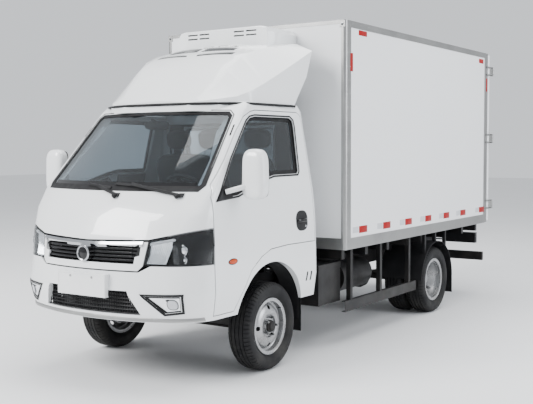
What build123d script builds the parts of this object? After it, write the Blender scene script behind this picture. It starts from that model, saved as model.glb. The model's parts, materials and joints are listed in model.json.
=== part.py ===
from build123d import *
import os
from collections import namedtuple
from functools import cache
from math import sqrt

os.makedirs("parts", exist_ok=True)

# All lengths are millimetres. +Z is up, the front faces -Y and the driver's side is +X.
# The origin is on the ground, below the middle of the whole truck.
# Outlines in the tables are given behind the front axle and above the ground.

# Overall lengths
front_reach = 1122
rear_reach = 4314
wheelbase = 2850

# Wheels and axles
tyre_radius = 325
tyre_half_width = 97.5
rim_flange_radius = 208
rim_half_width = 75
bead_radius = 190
front_rim_face = 803
rear_rim_face = 872.5
twin_pitch = 225
kingpin_x = 600
kingpin_radius = 12
steer_arm = 160
spring_x = 395
spring_width = 60

# Frame
rail_outer = 350
rail_flange = 55
rail_web = 6
rail_bottom = 500
rail_top = 620
rail_front = -930
rail_rear = 4150

# Insulated box
box_width = 1840
box_bottom = 805
box_top = 2660
box_gap = 935
box_wall = 70
front_wall_depth = 80
box_floor_depth = 90
box_roof_depth = 80
rear_frame_depth = 60
rear_frame_width = 75
rear_leaf_depth = 60
hinge_stand = 40
hinge_outboard = 20
hinge_eye = 11
trim_thickness = 3

# Cab
cab_rear = 640
cab_wall = 45
cab_low = 480
door_thickness = 45
door_front = -695
door_low = 512
front_skin = 28
front_skin_gap = 6
lens_thickness = 5
moving_gap = 6
door_front_gap = 9
glass_thickness = 5
glass_setback = 6
floor_top = 680
floor_depth = 35
bulkhead = -860
bulkhead_depth = 35
deck_top = 950
riser = -470
pillar_inside = 655
door_clear_inside = 32
arch_centre = (-10, 375)
arch_radius = 430

slat_heights = (884, 909, 934, 959)
slat_height = 14
badge_face = -1092
badge_height = 926
badge_radius = 52
lamp_rim = 7
plate_width = 444
plate_range = (640, 795)

# Small clearances
pin_gap = 0.3
seat_gap = 0.3

# Places worked out from these
axle_y = front_reach - (front_reach + rear_reach) / 2
rear_axle_y = axle_y + wheelbase
box_front_y = axle_y + box_gap
hinge_y = axle_y + rear_reach - hinge_eye
leaf_rear_y = hinge_y - hinge_stand
leaf_front_y = leaf_rear_y - rear_leaf_depth
frame_rear_y = leaf_front_y - moving_gap
frame_front_y = frame_rear_y - rear_frame_depth
box_half = box_width / 2
floor_height = box_bottom + box_floor_depth
ceiling_height = box_top - box_roof_depth


def keep(piece, name):
    piece.part.label = name
    export_step(piece.part, f"parts/{name}.step")


def slab(x_range, y_range, z_range):
    """An upright block between two corners, made apart from any piece."""
    with BuildPart() as block:
        with BuildSketch(Plane.XY.offset(z_range[0])):
            with Locations(((x_range[0] + x_range[1]) / 2, (y_range[0] + y_range[1]) / 2)):
                Rectangle(x_range[1] - x_range[0], y_range[1] - y_range[0])
        extrude(amount=z_range[1] - z_range[0])
    return block.part


def from_axle(y_range):
    return (axle_y + y_range[0], axle_y + y_range[1])


def side_prism(points, x_range, grow=0):
    """A block with an outline in the side view, between two distances across."""
    with BuildPart() as prism:
        with BuildSketch(Plane.YZ.offset(x_range[0])):
            with BuildLine():
                Polyline(*[(axle_y + y, z) for y, z in points], close=True)
            make_face()
            if grow:
                offset(amount=grow, kind=Kind.INTERSECTION)
        extrude(amount=x_range[1] - x_range[0])
    return prism.part


def front_prism(points, y_range, grow=0):
    """A block with an outline in the front view, between two distances behind the axle."""
    with BuildPart() as prism:
        with BuildSketch(Plane((0, axle_y + y_range[0], 0), x_dir=(1, 0, 0), z_dir=(0, -1, 0))):
            with BuildLine():
                Polyline(*points, close=True)
            make_face()
            if grow:
                offset(amount=grow, kind=Kind.INTERSECTION)
        extrude(amount=y_range[0] - y_range[1])
    return prism.part


def rod(start, end, radius):
    """A round bar between two points."""
    line = Vector(*end) - Vector(*start)
    with BuildPart() as bar:
        with BuildSketch(Plane(origin=start, z_dir=line)):
            Circle(radius)
        extrude(amount=line.length)
    return bar.part


def mirrored(points):
    """An outline closed by its own mirror image across the middle of the truck."""
    return points + [(-x, z) for x, z in reversed(points)]


# Cab body: horizontal sections, each with a bowed nose, two rounded front corners, sides and a rear wall.
# Columns: height, nose, nose bow radius, half width at the front corner, front corner radius,
# half width at the rear, rear wall, and the share of the wall's thickness taken off the height.
Level = namedtuple("Level", "z nose bow side corner rear_side rear sink")
cab_levels = [
    Level(cab_low, -1062, 1600, 806, 330, 820, cab_rear, 0),
    Level(660, -1110, 1660, 824, 350, 845, cab_rear, 0),
    Level(860, -1082, 1680, 822, 350, 842, cab_rear, 0),
    Level(1030, -1057, 1680, 820, 300, 838, cab_rear, 0),
    Level(1200, -985, 1700, 812, 160, 826, cab_rear, 0),
    Level(1340, -875, 1760, 802, 60, 808, cab_rear - 2, 0),
    Level(1920, -320, 1760, 700, 60, 706, cab_rear - 12, 1),
    Level(1965, -265, 1760, 676, 60, 684, cab_rear - 25, 1),
    Level(1995, -150, 1760, 600, 80, 610, cab_rear - 80, 1),
]
cab_rear_corner = 60
least_corner = 8


@cache
def cab_body(inset=0):
    """The cab's closed form, its walls moved in by an inset."""
    with BuildPart() as body:
        for level in cab_levels:
            side = level.side - inset
            bow = level.bow - inset
            nose = axle_y + level.nose + inset
            shoulder = nose + bow - sqrt(bow**2 - side**2)
            rear = axle_y + level.rear - inset
            with BuildSketch(Plane.XY.offset(level.z - inset * level.sink)) as section:
                with BuildLine():
                    ThreePointArc((-side, shoulder), (0, nose), (side, shoulder))
                    Polyline(
                        (side, shoulder),
                        (level.rear_side - inset, rear),
                        (inset - level.rear_side, rear),
                        (-side, shoulder),
                    )
                make_face()
                fillet(section.vertices().group_by(Axis.Y)[0], radius=max(level.corner - inset, least_corner))
                rear_corners = section.vertices().group_by(Axis.Y)[-1]
                fillet(rear_corners, radius=max(cab_rear_corner - inset, least_corner))
        loft(ruled=True)
    return body.part


def cab_layer(outside, inside):
    """The stretch of the cab's walls between two insets."""
    with BuildPart() as layer:
        add(cab_body(outside))
        add(cab_body(inside), mode=Mode.SUBTRACT)
    return layer.part


# Outlines on the cab: across or behind the axle, then height
seam = mirrored([(900, 400), (900, 1124), (490, 1032), (1, 1018)])
lamp_outline = [(470, 862), (495, 1026), (850, 1104), (850, 862)]
grille_outline = mirrored([(430, 819), (466, 856), (491, 1020), (1, 1010)])
grille_opening = mirrored([(395, 872), (420, 985)])
bumper_outline = mirrored([(900, 400), (900, 858), (515, 858), (435, 815)])
intake_outline = mirrored([(440, 528), (362, 690)])
bumper_arm = [
    (rail_front, 560), (rail_front, 618), (rail_front - 30, 745), (-1200, 745), (-1200, 712),
    (rail_front - 65, 712), (rail_front - 50, 560),
]
fog_outline = [(485, 662), (708, 662), (700, 560), (605, 548)]
door_outline = [
    (door_front, door_low), (door_front, 1310), (-655, 1385), (-490, 1553), (-320, 1742),
    (-200, 1858), (-110, 1895), (-50, 1907), (520, 1907), (556, 1885), (570, 1835),
    (575, 912), (196, 915), (-31, 903), (-150, 860), (-279, 778), (-406, 612), (-478, door_low),
]
window_outline = [
    (-636, 1290), (-426, 1556), (-175, 1822), (-125, 1853), (-60, 1864), (410, 1864),
    (444, 1842), (450, 1800), (420, 1460), (400, 1438), (75, 1436), (-60, 1410), (-404, 1310),
]
windscreen_outline = mirrored([(700, 1352), (722, 1385), (648, 1868), (612, 1898), (1, 1905)])
rear_window_outline = mirrored([(430, 1450), (442, 1462), (442, 1790), (430, 1800)])

# Rooms of the cab in the side view
inside_outline = [
    (bulkhead, floor_top), (riser, floor_top), (riser, deck_top), (cab_rear, deck_top),
    (cab_rear, 2100), (-1200, 2100), (-1200, 1150), (bulkhead, 1150),
]
under_outline = [
    (bulkhead - bulkhead_depth, 300), (bulkhead - bulkhead_depth, floor_top - floor_depth),
    (riser + floor_depth, floor_top - floor_depth), (riser + floor_depth, deck_top - floor_depth),
    (cab_rear + 100, deck_top - floor_depth), (cab_rear + 100, 300),
]

with BuildPart() as cab_outer:
    add(cab_body())

with BuildPart() as cab_room:
    add(cab_body(cab_wall))
    add(side_prism(inside_outline, (-1000, 1000)), mode=Mode.INTERSECT)
    for x_range in ((pillar_inside, 1000), (-1000, -pillar_inside)):
        add(slab(x_range, from_axle((-1200, door_front - 5)), (400, 1150)), mode=Mode.SUBTRACT)

with BuildPart() as front_space:
    add(front_prism(seam, (-1300, door_front - door_front_gap)))
    add(cab_body(front_skin + front_skin_gap), mode=Mode.SUBTRACT)
    add(front_prism(seam, (-1300, bulkhead - bulkhead_depth)))

with BuildPart() as door_space:
    add(side_prism(door_outline, (-1000, 1000), grow=moving_gap))
    add(slab((-1000, 1000), from_axle((door_front - door_front_gap, door_front)), (door_low - moving_gap, 1310)))
    add(cab_body(door_thickness + door_clear_inside), mode=Mode.SUBTRACT)

# Door hinge: a pin in a pocket of the door, and an eye on an arm that comes round from the pillar
door_hinge_x = 806
door_hinge_y = axle_y + door_front + 40
door_hinge_heights = (700, 1010)
door_pin_radius = 5
door_eye_radius = 9
door_eye_height = 50
door_pocket_height = 60
door_pocket_side = 12
door_arm_x = (728, 750)
door_arm_depth = 16

floor_half = 765
floor_pan_outline = [
    (bulkhead - bulkhead_depth, floor_top - floor_depth),
    (riser + floor_depth, floor_top - floor_depth), (riser + floor_depth, deck_top - floor_depth),
    (cab_rear - 80, deck_top - floor_depth), (cab_rear - 80, deck_top + 1), (riser - 1, deck_top + 1),
    (riser - 1, floor_top + 1), (bulkhead + 1, floor_top + 1), (bulkhead + 1, 1151), (bulkhead - bulkhead_depth, 1151),
]
with BuildPart() as cab_floor:
    add(cab_body(cab_wall))
    add(side_prism(floor_pan_outline, (-pillar_inside, pillar_inside)), mode=Mode.INTERSECT)
    add(cab_room.part, mode=Mode.SUBTRACT)
    add(front_space.part, mode=Mode.SUBTRACT)
    add(door_space.part, mode=Mode.SUBTRACT)
keep(cab_floor, "cab_floor")

with BuildPart() as cab_shell:
    add(cab_outer.part)
    add(cab_room.part, mode=Mode.SUBTRACT)
    add(side_prism(under_outline, (-floor_half, floor_half)), mode=Mode.SUBTRACT)
    add(cab_floor.part, mode=Mode.SUBTRACT)
    add(front_space.part, mode=Mode.SUBTRACT)
    add(front_prism(windscreen_outline, (-1200, -90)), mode=Mode.SUBTRACT)
    add(front_prism(rear_window_outline, (500, 700)), mode=Mode.SUBTRACT)
    add(door_space.part, mode=Mode.SUBTRACT)
    for side in (1, -1):
        arch = (650, 1000) if side == 1 else (-1000, -650)
        with BuildSketch(Plane.YZ.offset(arch[0])):
            with Locations((axle_y + arch_centre[0], arch_centre[1])):
                Circle(arch_radius)
        extrude(amount=arch[1] - arch[0], mode=Mode.SUBTRACT)
        for height in door_hinge_heights:
            low = height - door_eye_height / 2
            arm = sorted((side * door_arm_x[0], side * door_arm_x[1]))
            across = sorted((side * door_arm_x[0], side * door_hinge_x))
            add(slab(arm, (axle_y - 760, door_hinge_y + door_arm_depth / 2), (low, low + door_eye_height)))
            add(
                slab(
                    across,
                    (door_hinge_y - door_arm_depth / 2, door_hinge_y + door_arm_depth / 2),
                    (low, low + door_eye_height),
                )
            )
            with BuildSketch(Plane.XY.offset(low)):
                with Locations((side * door_hinge_x, door_hinge_y)):
                    Circle(door_eye_radius)
            extrude(amount=door_eye_height)
            with BuildSketch(Plane.XY.offset(low)):
                with Locations((side * door_hinge_x, door_hinge_y)):
                    Circle(door_pin_radius + pin_gap)
            extrude(amount=door_eye_height, mode=Mode.SUBTRACT)
keep(cab_shell, "cab_shell")

pane = cab_layer(glass_setback, glass_setback + glass_thickness)
with BuildPart() as cab_glass:
    add(pane & front_prism(windscreen_outline, (-1200, -90)))
    add(pane & front_prism(rear_window_outline, (500, 700)))
keep(cab_glass, "cab_glass")

with BuildPart() as door_left:
    add(cab_layer(0, door_thickness))
    add(side_prism(door_outline, (500, 1000)), mode=Mode.INTERSECT)
    add(side_prism(window_outline, (500, 1000)), mode=Mode.SUBTRACT)
    for height in door_hinge_heights:
        pocket = slab(
            (500, door_hinge_x + door_pocket_side),
            (axle_y + door_front, door_hinge_y + door_arm_depth),
            (height - door_pocket_height / 2, height + door_pocket_height / 2),
        )
        add(pocket, mode=Mode.SUBTRACT)
        bottom = height - door_pocket_height / 2
        add(rod((door_hinge_x, door_hinge_y, bottom - 5), (door_hinge_x, door_hinge_y, bottom + 65), door_pin_radius))
keep(door_left, "door_left")

with BuildPart() as door_right:
    mirror(door_left.part, about=Plane.YZ)
keep(door_right, "door_right")

with BuildPart() as door_glass_left:
    add(cab_layer(20, 20 + glass_thickness))
    add(side_prism(window_outline, (500, 1000)), mode=Mode.INTERSECT)
keep(door_glass_left, "door_glass_left")

with BuildPart() as door_glass_right:
    mirror(door_glass_left.part, about=Plane.YZ)
keep(door_glass_right, "door_glass_right")

with BuildPart() as front_bumper:
    add(cab_layer(0, front_skin))
    add(front_prism(bumper_outline, (-1300, door_front - door_front_gap)), mode=Mode.INTERSECT)
    add(front_prism(intake_outline, (-1300, -900)), mode=Mode.SUBTRACT)
    for side in (1, -1):
        outline = [(side * x, z) for x, z in fog_outline]
        add(front_prism(outline, (-1300, -700)), mode=Mode.SUBTRACT)
        arm = sorted((side * 300, side * 332))
        add(side_prism(bumper_arm, arm) & cab_body(front_skin / 2))
keep(front_bumper, "front_bumper")

slat_bands = [slab((-440, 440), from_axle((-1200, -900)), (z, z + slat_height)) for z in slat_heights]
with BuildPart() as slats:
    add(cab_layer(9, 34))
    add(slat_bands, mode=Mode.INTERSECT)

with BuildPart() as grille:
    add(cab_layer(4, 24))
    add(front_prism(grille_outline, (-1300, -900)), mode=Mode.INTERSECT)
    add(front_prism(grille_opening, (-1300, -900)), mode=Mode.SUBTRACT)
    add(slats.part)
    for x in (-300, 300):
        add(slab((x - 20, x + 20), from_axle((-1038, bulkhead - bulkhead_depth)), (826, 850)))
    with BuildSketch(Plane((0, axle_y + badge_face, badge_height), x_dir=(1, 0, 0), z_dir=(0, 1, 0))):
        Circle(badge_radius)
    extrude(amount=40)
keep(grille, "grille")

with BuildPart() as headlamps:
    for side in (1, -1):
        outline = [(side * x, z) for x, z in lamp_outline]
        block = front_prism(outline, (-1300, door_front - door_front_gap - 2))
        deep = cab_body(lens_thickness) & front_prism(outline, (-1300, bulkhead - bulkhead_depth))
        skin = cab_layer(lens_thickness, front_skin) & block
        bowl = front_prism(outline, (-1300, bulkhead - bulkhead_depth - 15), grow=-lamp_rim)
        bowl = bowl - cab_body(front_skin - 8) + (bowl & slab((-700, 700), (axle_y - 1300, box_front_y), (0, 2000)))
        add((deep + skin) - bowl)
keep(headlamps, "headlamps")

with BuildPart() as headlamp_lenses:
    for side in (1, -1):
        outline = [(side * x, z) for x, z in lamp_outline]
        add(cab_layer(0, lens_thickness) & front_prism(outline, (-1300, door_front - door_front_gap - 2)))
keep(headlamp_lenses, "headlamp_lenses")

with BuildPart() as fog_lamps:
    for side in (1, -1):
        outline = [(side * x, z) for x, z in fog_outline]
        add(cab_layer(10, front_skin) & front_prism(outline, (-1300, -700)))
keep(fog_lamps, "fog_lamps")

with BuildPart() as number_plate:
    add(slab((-plate_width / 2, plate_width / 2), (axle_y - front_reach, axle_y - 1080), plate_range))
    add(cab_outer.part, mode=Mode.SUBTRACT)
keep(number_plate, "number_plate")

# Wheels: a tyre is lofted through many-sided rings, a rim is turned about the axle line
# Columns: across from the tyre's middle, distance from the axle line to the flats
tyre_sides = 40
tread_half = 52
tyre_outside = [(-tyre_half_width, 264), (-84, 311), (-tread_half, tyre_radius)]
tyre_outside += [(-x, r) for x, r in reversed(tyre_outside)]
tyre_inside = [(-tyre_half_width, 256), (-68, rim_flange_radius), (-67, bead_radius)]
tyre_inside += [(-x, r) for x, r in reversed(tyre_inside)]


def wheel_plane(y):
    return Plane((0, y, tyre_radius), x_dir=(1, 0, 0), z_dir=(0, -1, 0))


def wheel_axis(y):
    return Axis((0, y, tyre_radius), (1, 0, 0))


def ringed(rings, middle, y):
    """A form through many-sided rings on an axle line, with a flat of each facing down."""
    with BuildPart() as form:
        for x, flat in rings:
            with BuildSketch(Plane((middle + x, y, tyre_radius), x_dir=(0, 1, 0), z_dir=(1, 0, 0))):
                RegularPolygon(flat, tyre_sides, major_radius=False, rotation=180 / tyre_sides)
        loft(ruled=True)
    return form.part


def tyre(middle, y):
    """A tyre with its tread middle at a distance across, its bore open for the rim."""
    return ringed(tyre_outside, middle, y) - ringed(tyre_inside, middle, y)


def turned(outline, y):
    """A solid of revolution about an axle line, from points given as (across, radius)."""
    with BuildPart() as piece:
        with BuildSketch(wheel_plane(y)):
            with BuildLine():
                Polyline(*outline, close=True)
            make_face()
        revolve(axis=wheel_axis(y))
    return piece.part


# Rim barrel about its own middle, then the discs: across from the rim's outer face, radius
barrel = [
    (-75, 208), (-68, 208), (-67, 190), (-30, 190), (-22, 174), (22, 174), (30, 190), (67, 190), (68, 208), (75, 208),
    (75, 202), (72, 200), (71, 184), (32, 184), (24, 168), (-24, 168), (-32, 184), (-71, 184), (-72, 200), (-75, 202),
]
front_disc = [
    (-58, 168), (-48, 170), (-22, 150), (-10, 128), (-6, 100), (-10, 84), (-22, 78), (-22, 40), (-30, 40), (-30, 82),
    (-16, 92), (-13, 102), (-16, 126), (-28, 145), (-52, 162),
]
front_hub = [
    (-135, 130), (-85, 130), (-85, 60), (-30, 60), (-30, 50), (8, 38), (14, 30), (14, 0),
    (-30, 0), (-30, 22.5), (-125, 22.5), (-125, 60), (-128, 60), (-128, 122), (-135, 122),
]
hand_hole_radius = 17
hand_hole_ring = 138
stud_ring = 66
stud_radius = 9

knuckle_web = (632, 648)
for side, name in ((1, "left"), (-1, "right")):
    middle = front_rim_face - rim_half_width
    with BuildPart() as tyre_front:
        add(tyre(side * middle, axle_y))
    keep(tyre_front, f"tyre_front_{name}")
    with BuildPart() as wheel_front:
        add(turned([(side * (middle + x), r) for x, r in barrel], axle_y))
        add(turned([(side * (front_rim_face + x), r) for x, r in front_disc], axle_y))
        add(turned([(side * (front_rim_face + x), r) for x, r in front_hub], axle_y))
        with BuildSketch(Plane((0, axle_y, tyre_radius), x_dir=(0, 1, 0), z_dir=(1, 0, 0))):
            with PolarLocations(hand_hole_ring, 4):
                Circle(hand_hole_radius)
        extrude(amount=side * 900, mode=Mode.SUBTRACT)
        with BuildSketch(Plane((side * (front_rim_face - 30), axle_y, tyre_radius), x_dir=(0, 1, 0), z_dir=(1, 0, 0))):
            with PolarLocations(stud_ring, 5):
                RegularPolygon(stud_radius, 6)
        extrude(amount=side * 26)
    keep(wheel_front, f"wheel_front_{name}")

# Rear twin wheels: two dished rims back to back on one hub, and the brake drum behind them
rear_outer = rear_rim_face - rim_half_width
rear_inner = rear_outer - twin_pitch
rear_meet = (rear_outer + rear_inner) / 2
rear_hub = [
    (rear_inner - 80, 150), (rear_inner - 30, 150), (rear_inner - 20, 92), (rear_meet + 12, 92),
    (rear_meet + 12, 62), (rear_meet + 95, 55), (rear_meet + 105, 45), (rear_meet + 105, 0),
    (rear_meet + 10, 0), (rear_meet + 10, 25.5), (rear_inner - 74, 25.5), (rear_inner - 74, 142),
    (rear_inner - 80, 142),
]


def dished(side, outwards):
    """One rear disc, from the barrel's edge in to the face where the two rims meet."""
    centre = rear_meet
    reach = rear_outer - rear_meet
    shape = [
        (reach + 50, 170), (reach + 32, 170), (reach - 20, 150), (40, 130), (12, 112), (12, 60),
        (0, 60), (0, 118), (30, 138), (reach - 28, 158), (reach + 28, 178), (reach + 50, 178),
    ]
    return turned([(side * (centre + outwards * x), r) for x, r in shape], rear_axle_y)


for side, name in ((1, "left"), (-1, "right")):
    with BuildPart() as tyres_rear:
        add(tyre(side * rear_outer, rear_axle_y))
        add(tyre(side * rear_inner, rear_axle_y))
    keep(tyres_rear, f"tyres_rear_{name}")
    with BuildPart() as wheels_rear:
        for middle, outwards in ((rear_outer, 1), (rear_inner, -1)):
            add(turned([(side * (middle + x), r) for x, r in barrel], rear_axle_y))
            add(dished(side, outwards))
        with BuildSketch(Plane((0, rear_axle_y, tyre_radius), x_dir=(0, 1, 0), z_dir=(1, 0, 0))):
            with PolarLocations(hand_hole_ring, 4, start_angle=45):
                Circle(hand_hole_radius)
        extrude(amount=side * 900, mode=Mode.SUBTRACT)
        add(turned([(side * x, r) for x, r in rear_hub], rear_axle_y))
        with BuildSketch(Plane((side * rear_meet, rear_axle_y, tyre_radius), x_dir=(0, 1, 0), z_dir=(1, 0, 0))):
            with PolarLocations(stud_ring + 12, 6):
                RegularPolygon(stud_radius, 6)
        extrude(amount=side * 32)
    keep(wheels_rear, f"wheels_rear_{name}")

# Front axle beam with a kingpin boss at each end, and the knuckles that turn on it
beam_top = 350
beam_low = 300
axle_tube = 42
stub_radius = 25
leaf_depth = 12
spring_pad = 12
boss_range = (290, 360)
ear_gap = 3
ear_height = 20
spindle_radius = 22
with BuildPart() as front_axle:
    add(slab((-560, 560), (axle_y - 30, axle_y + 30), (beam_low, beam_top)))
    for side in (1, -1):
        end = sorted((side * 540, side * kingpin_x))
        add(slab(end, (axle_y - 26, axle_y + 26), (beam_low, beam_top)))
        pin = Vector(side * kingpin_x, axle_y, boss_range[0])
        add(rod(pin, pin + Vector(0, 0, boss_range[1] - boss_range[0]), 28))
        add(rod(pin, pin + Vector(0, 0, boss_range[1] - boss_range[0]), kingpin_radius + pin_gap), mode=Mode.SUBTRACT)
keep(front_axle, "front_axle")

upper_ear = (boss_range[1] + ear_gap, boss_range[1] + ear_gap + ear_height)
lower_ear = (boss_range[0] - ear_gap - ear_height, boss_range[0] - ear_gap)
arm_range = (lower_ear[0] - 2, lower_ear[1])
rod_height = arm_range[0] - 20
stud_low = rod_height - 12
arm_radius = 16
stud_radius_low = 7
for side, name in ((1, "left"), (-1, "right")):
    with BuildPart() as knuckle:
        pin_x = side * kingpin_x
        for low, high in (upper_ear, lower_ear):
            add(rod((pin_x, axle_y, low), (pin_x, axle_y, high), 26))
            web = sorted((pin_x, side * knuckle_web[1]))
            add(slab(web, (axle_y - 22, axle_y + 22), (low, high)))
        web = sorted((side * knuckle_web[0], side * knuckle_web[1]))
        add(slab(web, (axle_y - 30, axle_y + 30), (lower_ear[0], upper_ear[1])))
        add(rod((pin_x, axle_y, lower_ear[0]), (pin_x, axle_y, upper_ear[1]), kingpin_radius))
        spindle = (side * knuckle_web[0], side * (front_rim_face - 35))
        add(rod((spindle[0], axle_y, tyre_radius), (spindle[1], axle_y, tyre_radius), spindle_radius))
        arm = sorted((pin_x - arm_radius, pin_x + arm_radius))
        add(slab(arm, (axle_y, axle_y + steer_arm), arm_range))
        stud_y = axle_y + steer_arm
        add(rod((pin_x, stud_y, arm_range[0]), (pin_x, stud_y, arm_range[1]), arm_radius))
        add(rod((pin_x, stud_y, stud_low), (pin_x, stud_y, arm_range[1]), stud_radius_low))
    keep(knuckle, f"knuckle_{name}")

with BuildPart() as tie_rod:
    add(rod((-kingpin_x, axle_y + steer_arm, rod_height), (kingpin_x, axle_y + steer_arm, rod_height), 11))
    for side in (1, -1):
        eye = Vector(side * kingpin_x, axle_y + steer_arm, rod_height - 14)
        add(rod(eye, eye + Vector(0, 0, 28), 17))
        add(rod(eye, eye + Vector(0, 0, 28), stud_radius_low + pin_gap), mode=Mode.SUBTRACT)
keep(tie_rod, "tie_rod")

# Rear axle: tube, final drive housing and the stub that each hub turns on
with BuildPart() as rear_axle:
    tube_end = rear_inner - 80
    stub_end = rear_meet + 5
    housing = [(-150, 40), (-110, 120), (-60, 145), (60, 145), (110, 120), (150, 40), (150, 0), (-150, 0)]
    add(rod((-tube_end, rear_axle_y, tyre_radius), (tube_end, rear_axle_y, tyre_radius), axle_tube))
    add(rod((-stub_end, rear_axle_y, tyre_radius), (stub_end, rear_axle_y, tyre_radius), stub_radius))
    add(turned(housing, rear_axle_y))
    add(rod((0, rear_axle_y - 230, tyre_radius), (0, rear_axle_y, tyre_radius), 60))
keep(rear_axle, "rear_axle")

# Leaf springs: stacked leaves, each an arc of one family of circles
# Columns: axle line, height of the main leaf's underside at the axle, half span, rise at its eyes
Spring = namedtuple("Spring", "y seat half_span rise")
springs = [
    Spring(axle_y, beam_top + spring_pad + 2 * leaf_depth, 560, 50),
    Spring(rear_axle_y, tyre_radius + axle_tube + spring_pad + 2 * leaf_depth, 600, 40),
]
leaf_shares = (1, 0.72, 0.45)
spring_eye = 20
hanger_plate = 6


def spring_pack(spring, middle):
    radius = (spring.half_span**2 + spring.rise**2) / (2 * spring.rise)
    with BuildPart() as pack:
        with BuildSketch(Plane.YZ.offset(middle - spring_width / 2)):
            for index, share in enumerate(leaf_shares):
                half = spring.half_span * share
                top = spring.seat + leaf_depth - index * leaf_depth
                with BuildLine():
                    lower = top - leaf_depth
                    end = (radius - sqrt(radius**2 - half**2))
                    ThreePointArc((spring.y - half, top + end), (spring.y, top), (spring.y + half, top + end))
                    Line((spring.y + half, top + end), (spring.y + half, lower + end))
                    ThreePointArc((spring.y + half, lower + end), (spring.y, lower), (spring.y - half, lower + end))
                    Line((spring.y - half, lower + end), (spring.y - half, top + end))
                make_face()
            eye_height = spring.seat + spring.rise + leaf_depth / 2
            with Locations(*[(spring.y + way * spring.half_span, eye_height) for way in (1, -1)]):
                Circle(spring_eye)
        extrude(amount=spring_width)
        lowest = spring.seat - (len(leaf_shares) - 1) * leaf_depth
        highest = spring.seat + leaf_depth
        plate = (middle - spring_width / 2 - 6, middle + spring_width / 2 + 6)
        add(slab(plate, (spring.y - 70, spring.y + 70), (highest, highest + 10)))
        add(slab(plate, (spring.y - 50, spring.y + 50), (lowest - spring_pad, lowest + 6)))
    return pack.part


with BuildPart() as leaf_springs:
    for spring in springs:
        for side in (1, -1):
            add(spring_pack(spring, side * spring_x))
    add(rear_axle.part, mode=Mode.SUBTRACT)
    add(front_axle.part, mode=Mode.SUBTRACT)
keep(leaf_springs, "leaf_springs")

# Ladder frame: two channels, cross tubes and the spring hangers
cross_tubes = (-890, 860, 1500, 2200, 3500, 4100)
with BuildPart() as chassis_frame:
    for side in (1, -1):
        web = sorted((side * (rail_outer - rail_web), side * rail_outer))
        flange = sorted((side * (rail_outer - rail_flange), side * rail_outer))
        add(slab(web, from_axle((rail_front, rail_rear)), (rail_bottom, rail_top)))
        add(slab(flange, from_axle((rail_front, rail_rear)), (rail_bottom, rail_bottom + rail_web)))
        add(slab(flange, from_axle((rail_front, rail_rear)), (rail_top - rail_web, rail_top)))
        for spring in springs:
            for way in (1, -1):
                place = spring.y + way * spring.half_span
                eye_z = spring.seat + spring.rise + leaf_depth / 2
                low = eye_z - spring_eye - 4
                for edge in (-1, 1):
                    cheek = spring_x + edge * (spring_width / 2 + hanger_plate / 2)
                    across = sorted((side * (cheek - hanger_plate / 2), side * (cheek + hanger_plate / 2)))
                    add(slab(across, (place - 26, place + 26), (low, rail_bottom + 50)))
                top = sorted((side * (rail_outer - 1), side * (spring_x + spring_width / 2 + hanger_plate)))
                add(slab(top, (place - 26, place + 26), (eye_z + spring_eye + 8, rail_bottom + 50)))
    for y in cross_tubes:
        add(slab((-rail_outer + 2, rail_outer - 2), from_axle((y - 30, y + 30)), (rail_bottom + 15, rail_top - 15)))
    for side in (1, -1):
        across = sorted((side * (rail_outer - 50), side * rail_outer))
        add(slab(across, from_axle((-740, -680)), (rail_top, floor_top - floor_depth)))
        add(slab(across, from_axle((cab_rear - 50, cab_rear - 12)), (rail_top, deck_top - floor_depth)))
keep(chassis_frame, "chassis_frame")

# Insulated box: floor on bearers and runners, three walls, roof and a rear portal
bearer_low = 715
bearer_places = (60, 480, 900, 1330, 1630, 2210, 2700, 3100)
bearer_width = 50
bearer_setback = 70
box_corner = 25
deck_thickness = 3
deck_margin = 2


def box_outline(grow=0):
    """The box's plan with its front corners rounded."""
    with BuildPart() as body:
        with BuildSketch(Plane.XY.offset(box_bottom - grow)) as plan:
            with Locations((0, (box_front_y + frame_front_y) / 2)):
                Rectangle(box_width + 2 * grow, frame_front_y - box_front_y + 2 * grow)
            fillet(plan.vertices().group_by(Axis.Y)[0], radius=box_corner + grow)
        extrude(amount=box_top - box_bottom + 2 * grow)
    return body.part


box_block = box_outline()
whole = (-box_half, box_half)
with BuildPart() as box_floor:
    add(box_block)
    add(slab(whole, (box_front_y, frame_front_y), (box_bottom, floor_height)), mode=Mode.INTERSECT)
    deck_half = box_half - box_wall - deck_margin
    deck_range = (box_front_y + front_wall_depth + deck_margin, frame_front_y - deck_margin)
    add(slab((-deck_half, deck_half), deck_range, (floor_height, floor_height + deck_thickness)))
keep(box_floor, "box_floor")

bearer_half = box_half - bearer_setback
with BuildPart() as floor_bearers:
    for place in bearer_places:
        along = (box_front_y + place, box_front_y + place + bearer_width)
        add(slab((-bearer_half, bearer_half), along, (bearer_low, box_bottom)))
keep(floor_bearers, "floor_bearers")

with BuildPart() as floor_runners:
    for side in (1, -1):
        runner = sorted((side * (rail_outer - rail_flange), side * rail_outer))
        add(slab(runner, (box_front_y + 20, frame_front_y - 20), (rail_top, bearer_low)))
keep(floor_runners, "floor_runners")

with BuildPart() as box_front_wall:
    add(box_block)
    front = slab(whole, (box_front_y, box_front_y + front_wall_depth), (floor_height, ceiling_height))
    add(front, mode=Mode.INTERSECT)
keep(box_front_wall, "box_front_wall")

for side, name in ((1, "left"), (-1, "right")):
    with BuildPart() as box_side_wall:
        across = sorted((side * (box_half - box_wall), side * box_half))
        add(slab(across, (box_front_y + front_wall_depth, frame_front_y), (floor_height, ceiling_height)))
    keep(box_side_wall, f"box_{name}_wall")

with BuildPart() as box_roof:
    add(box_block)
    add(slab(whole, (box_front_y, frame_front_y), (ceiling_height, box_top)), mode=Mode.INTERSECT)
keep(box_roof, "box_roof")

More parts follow.
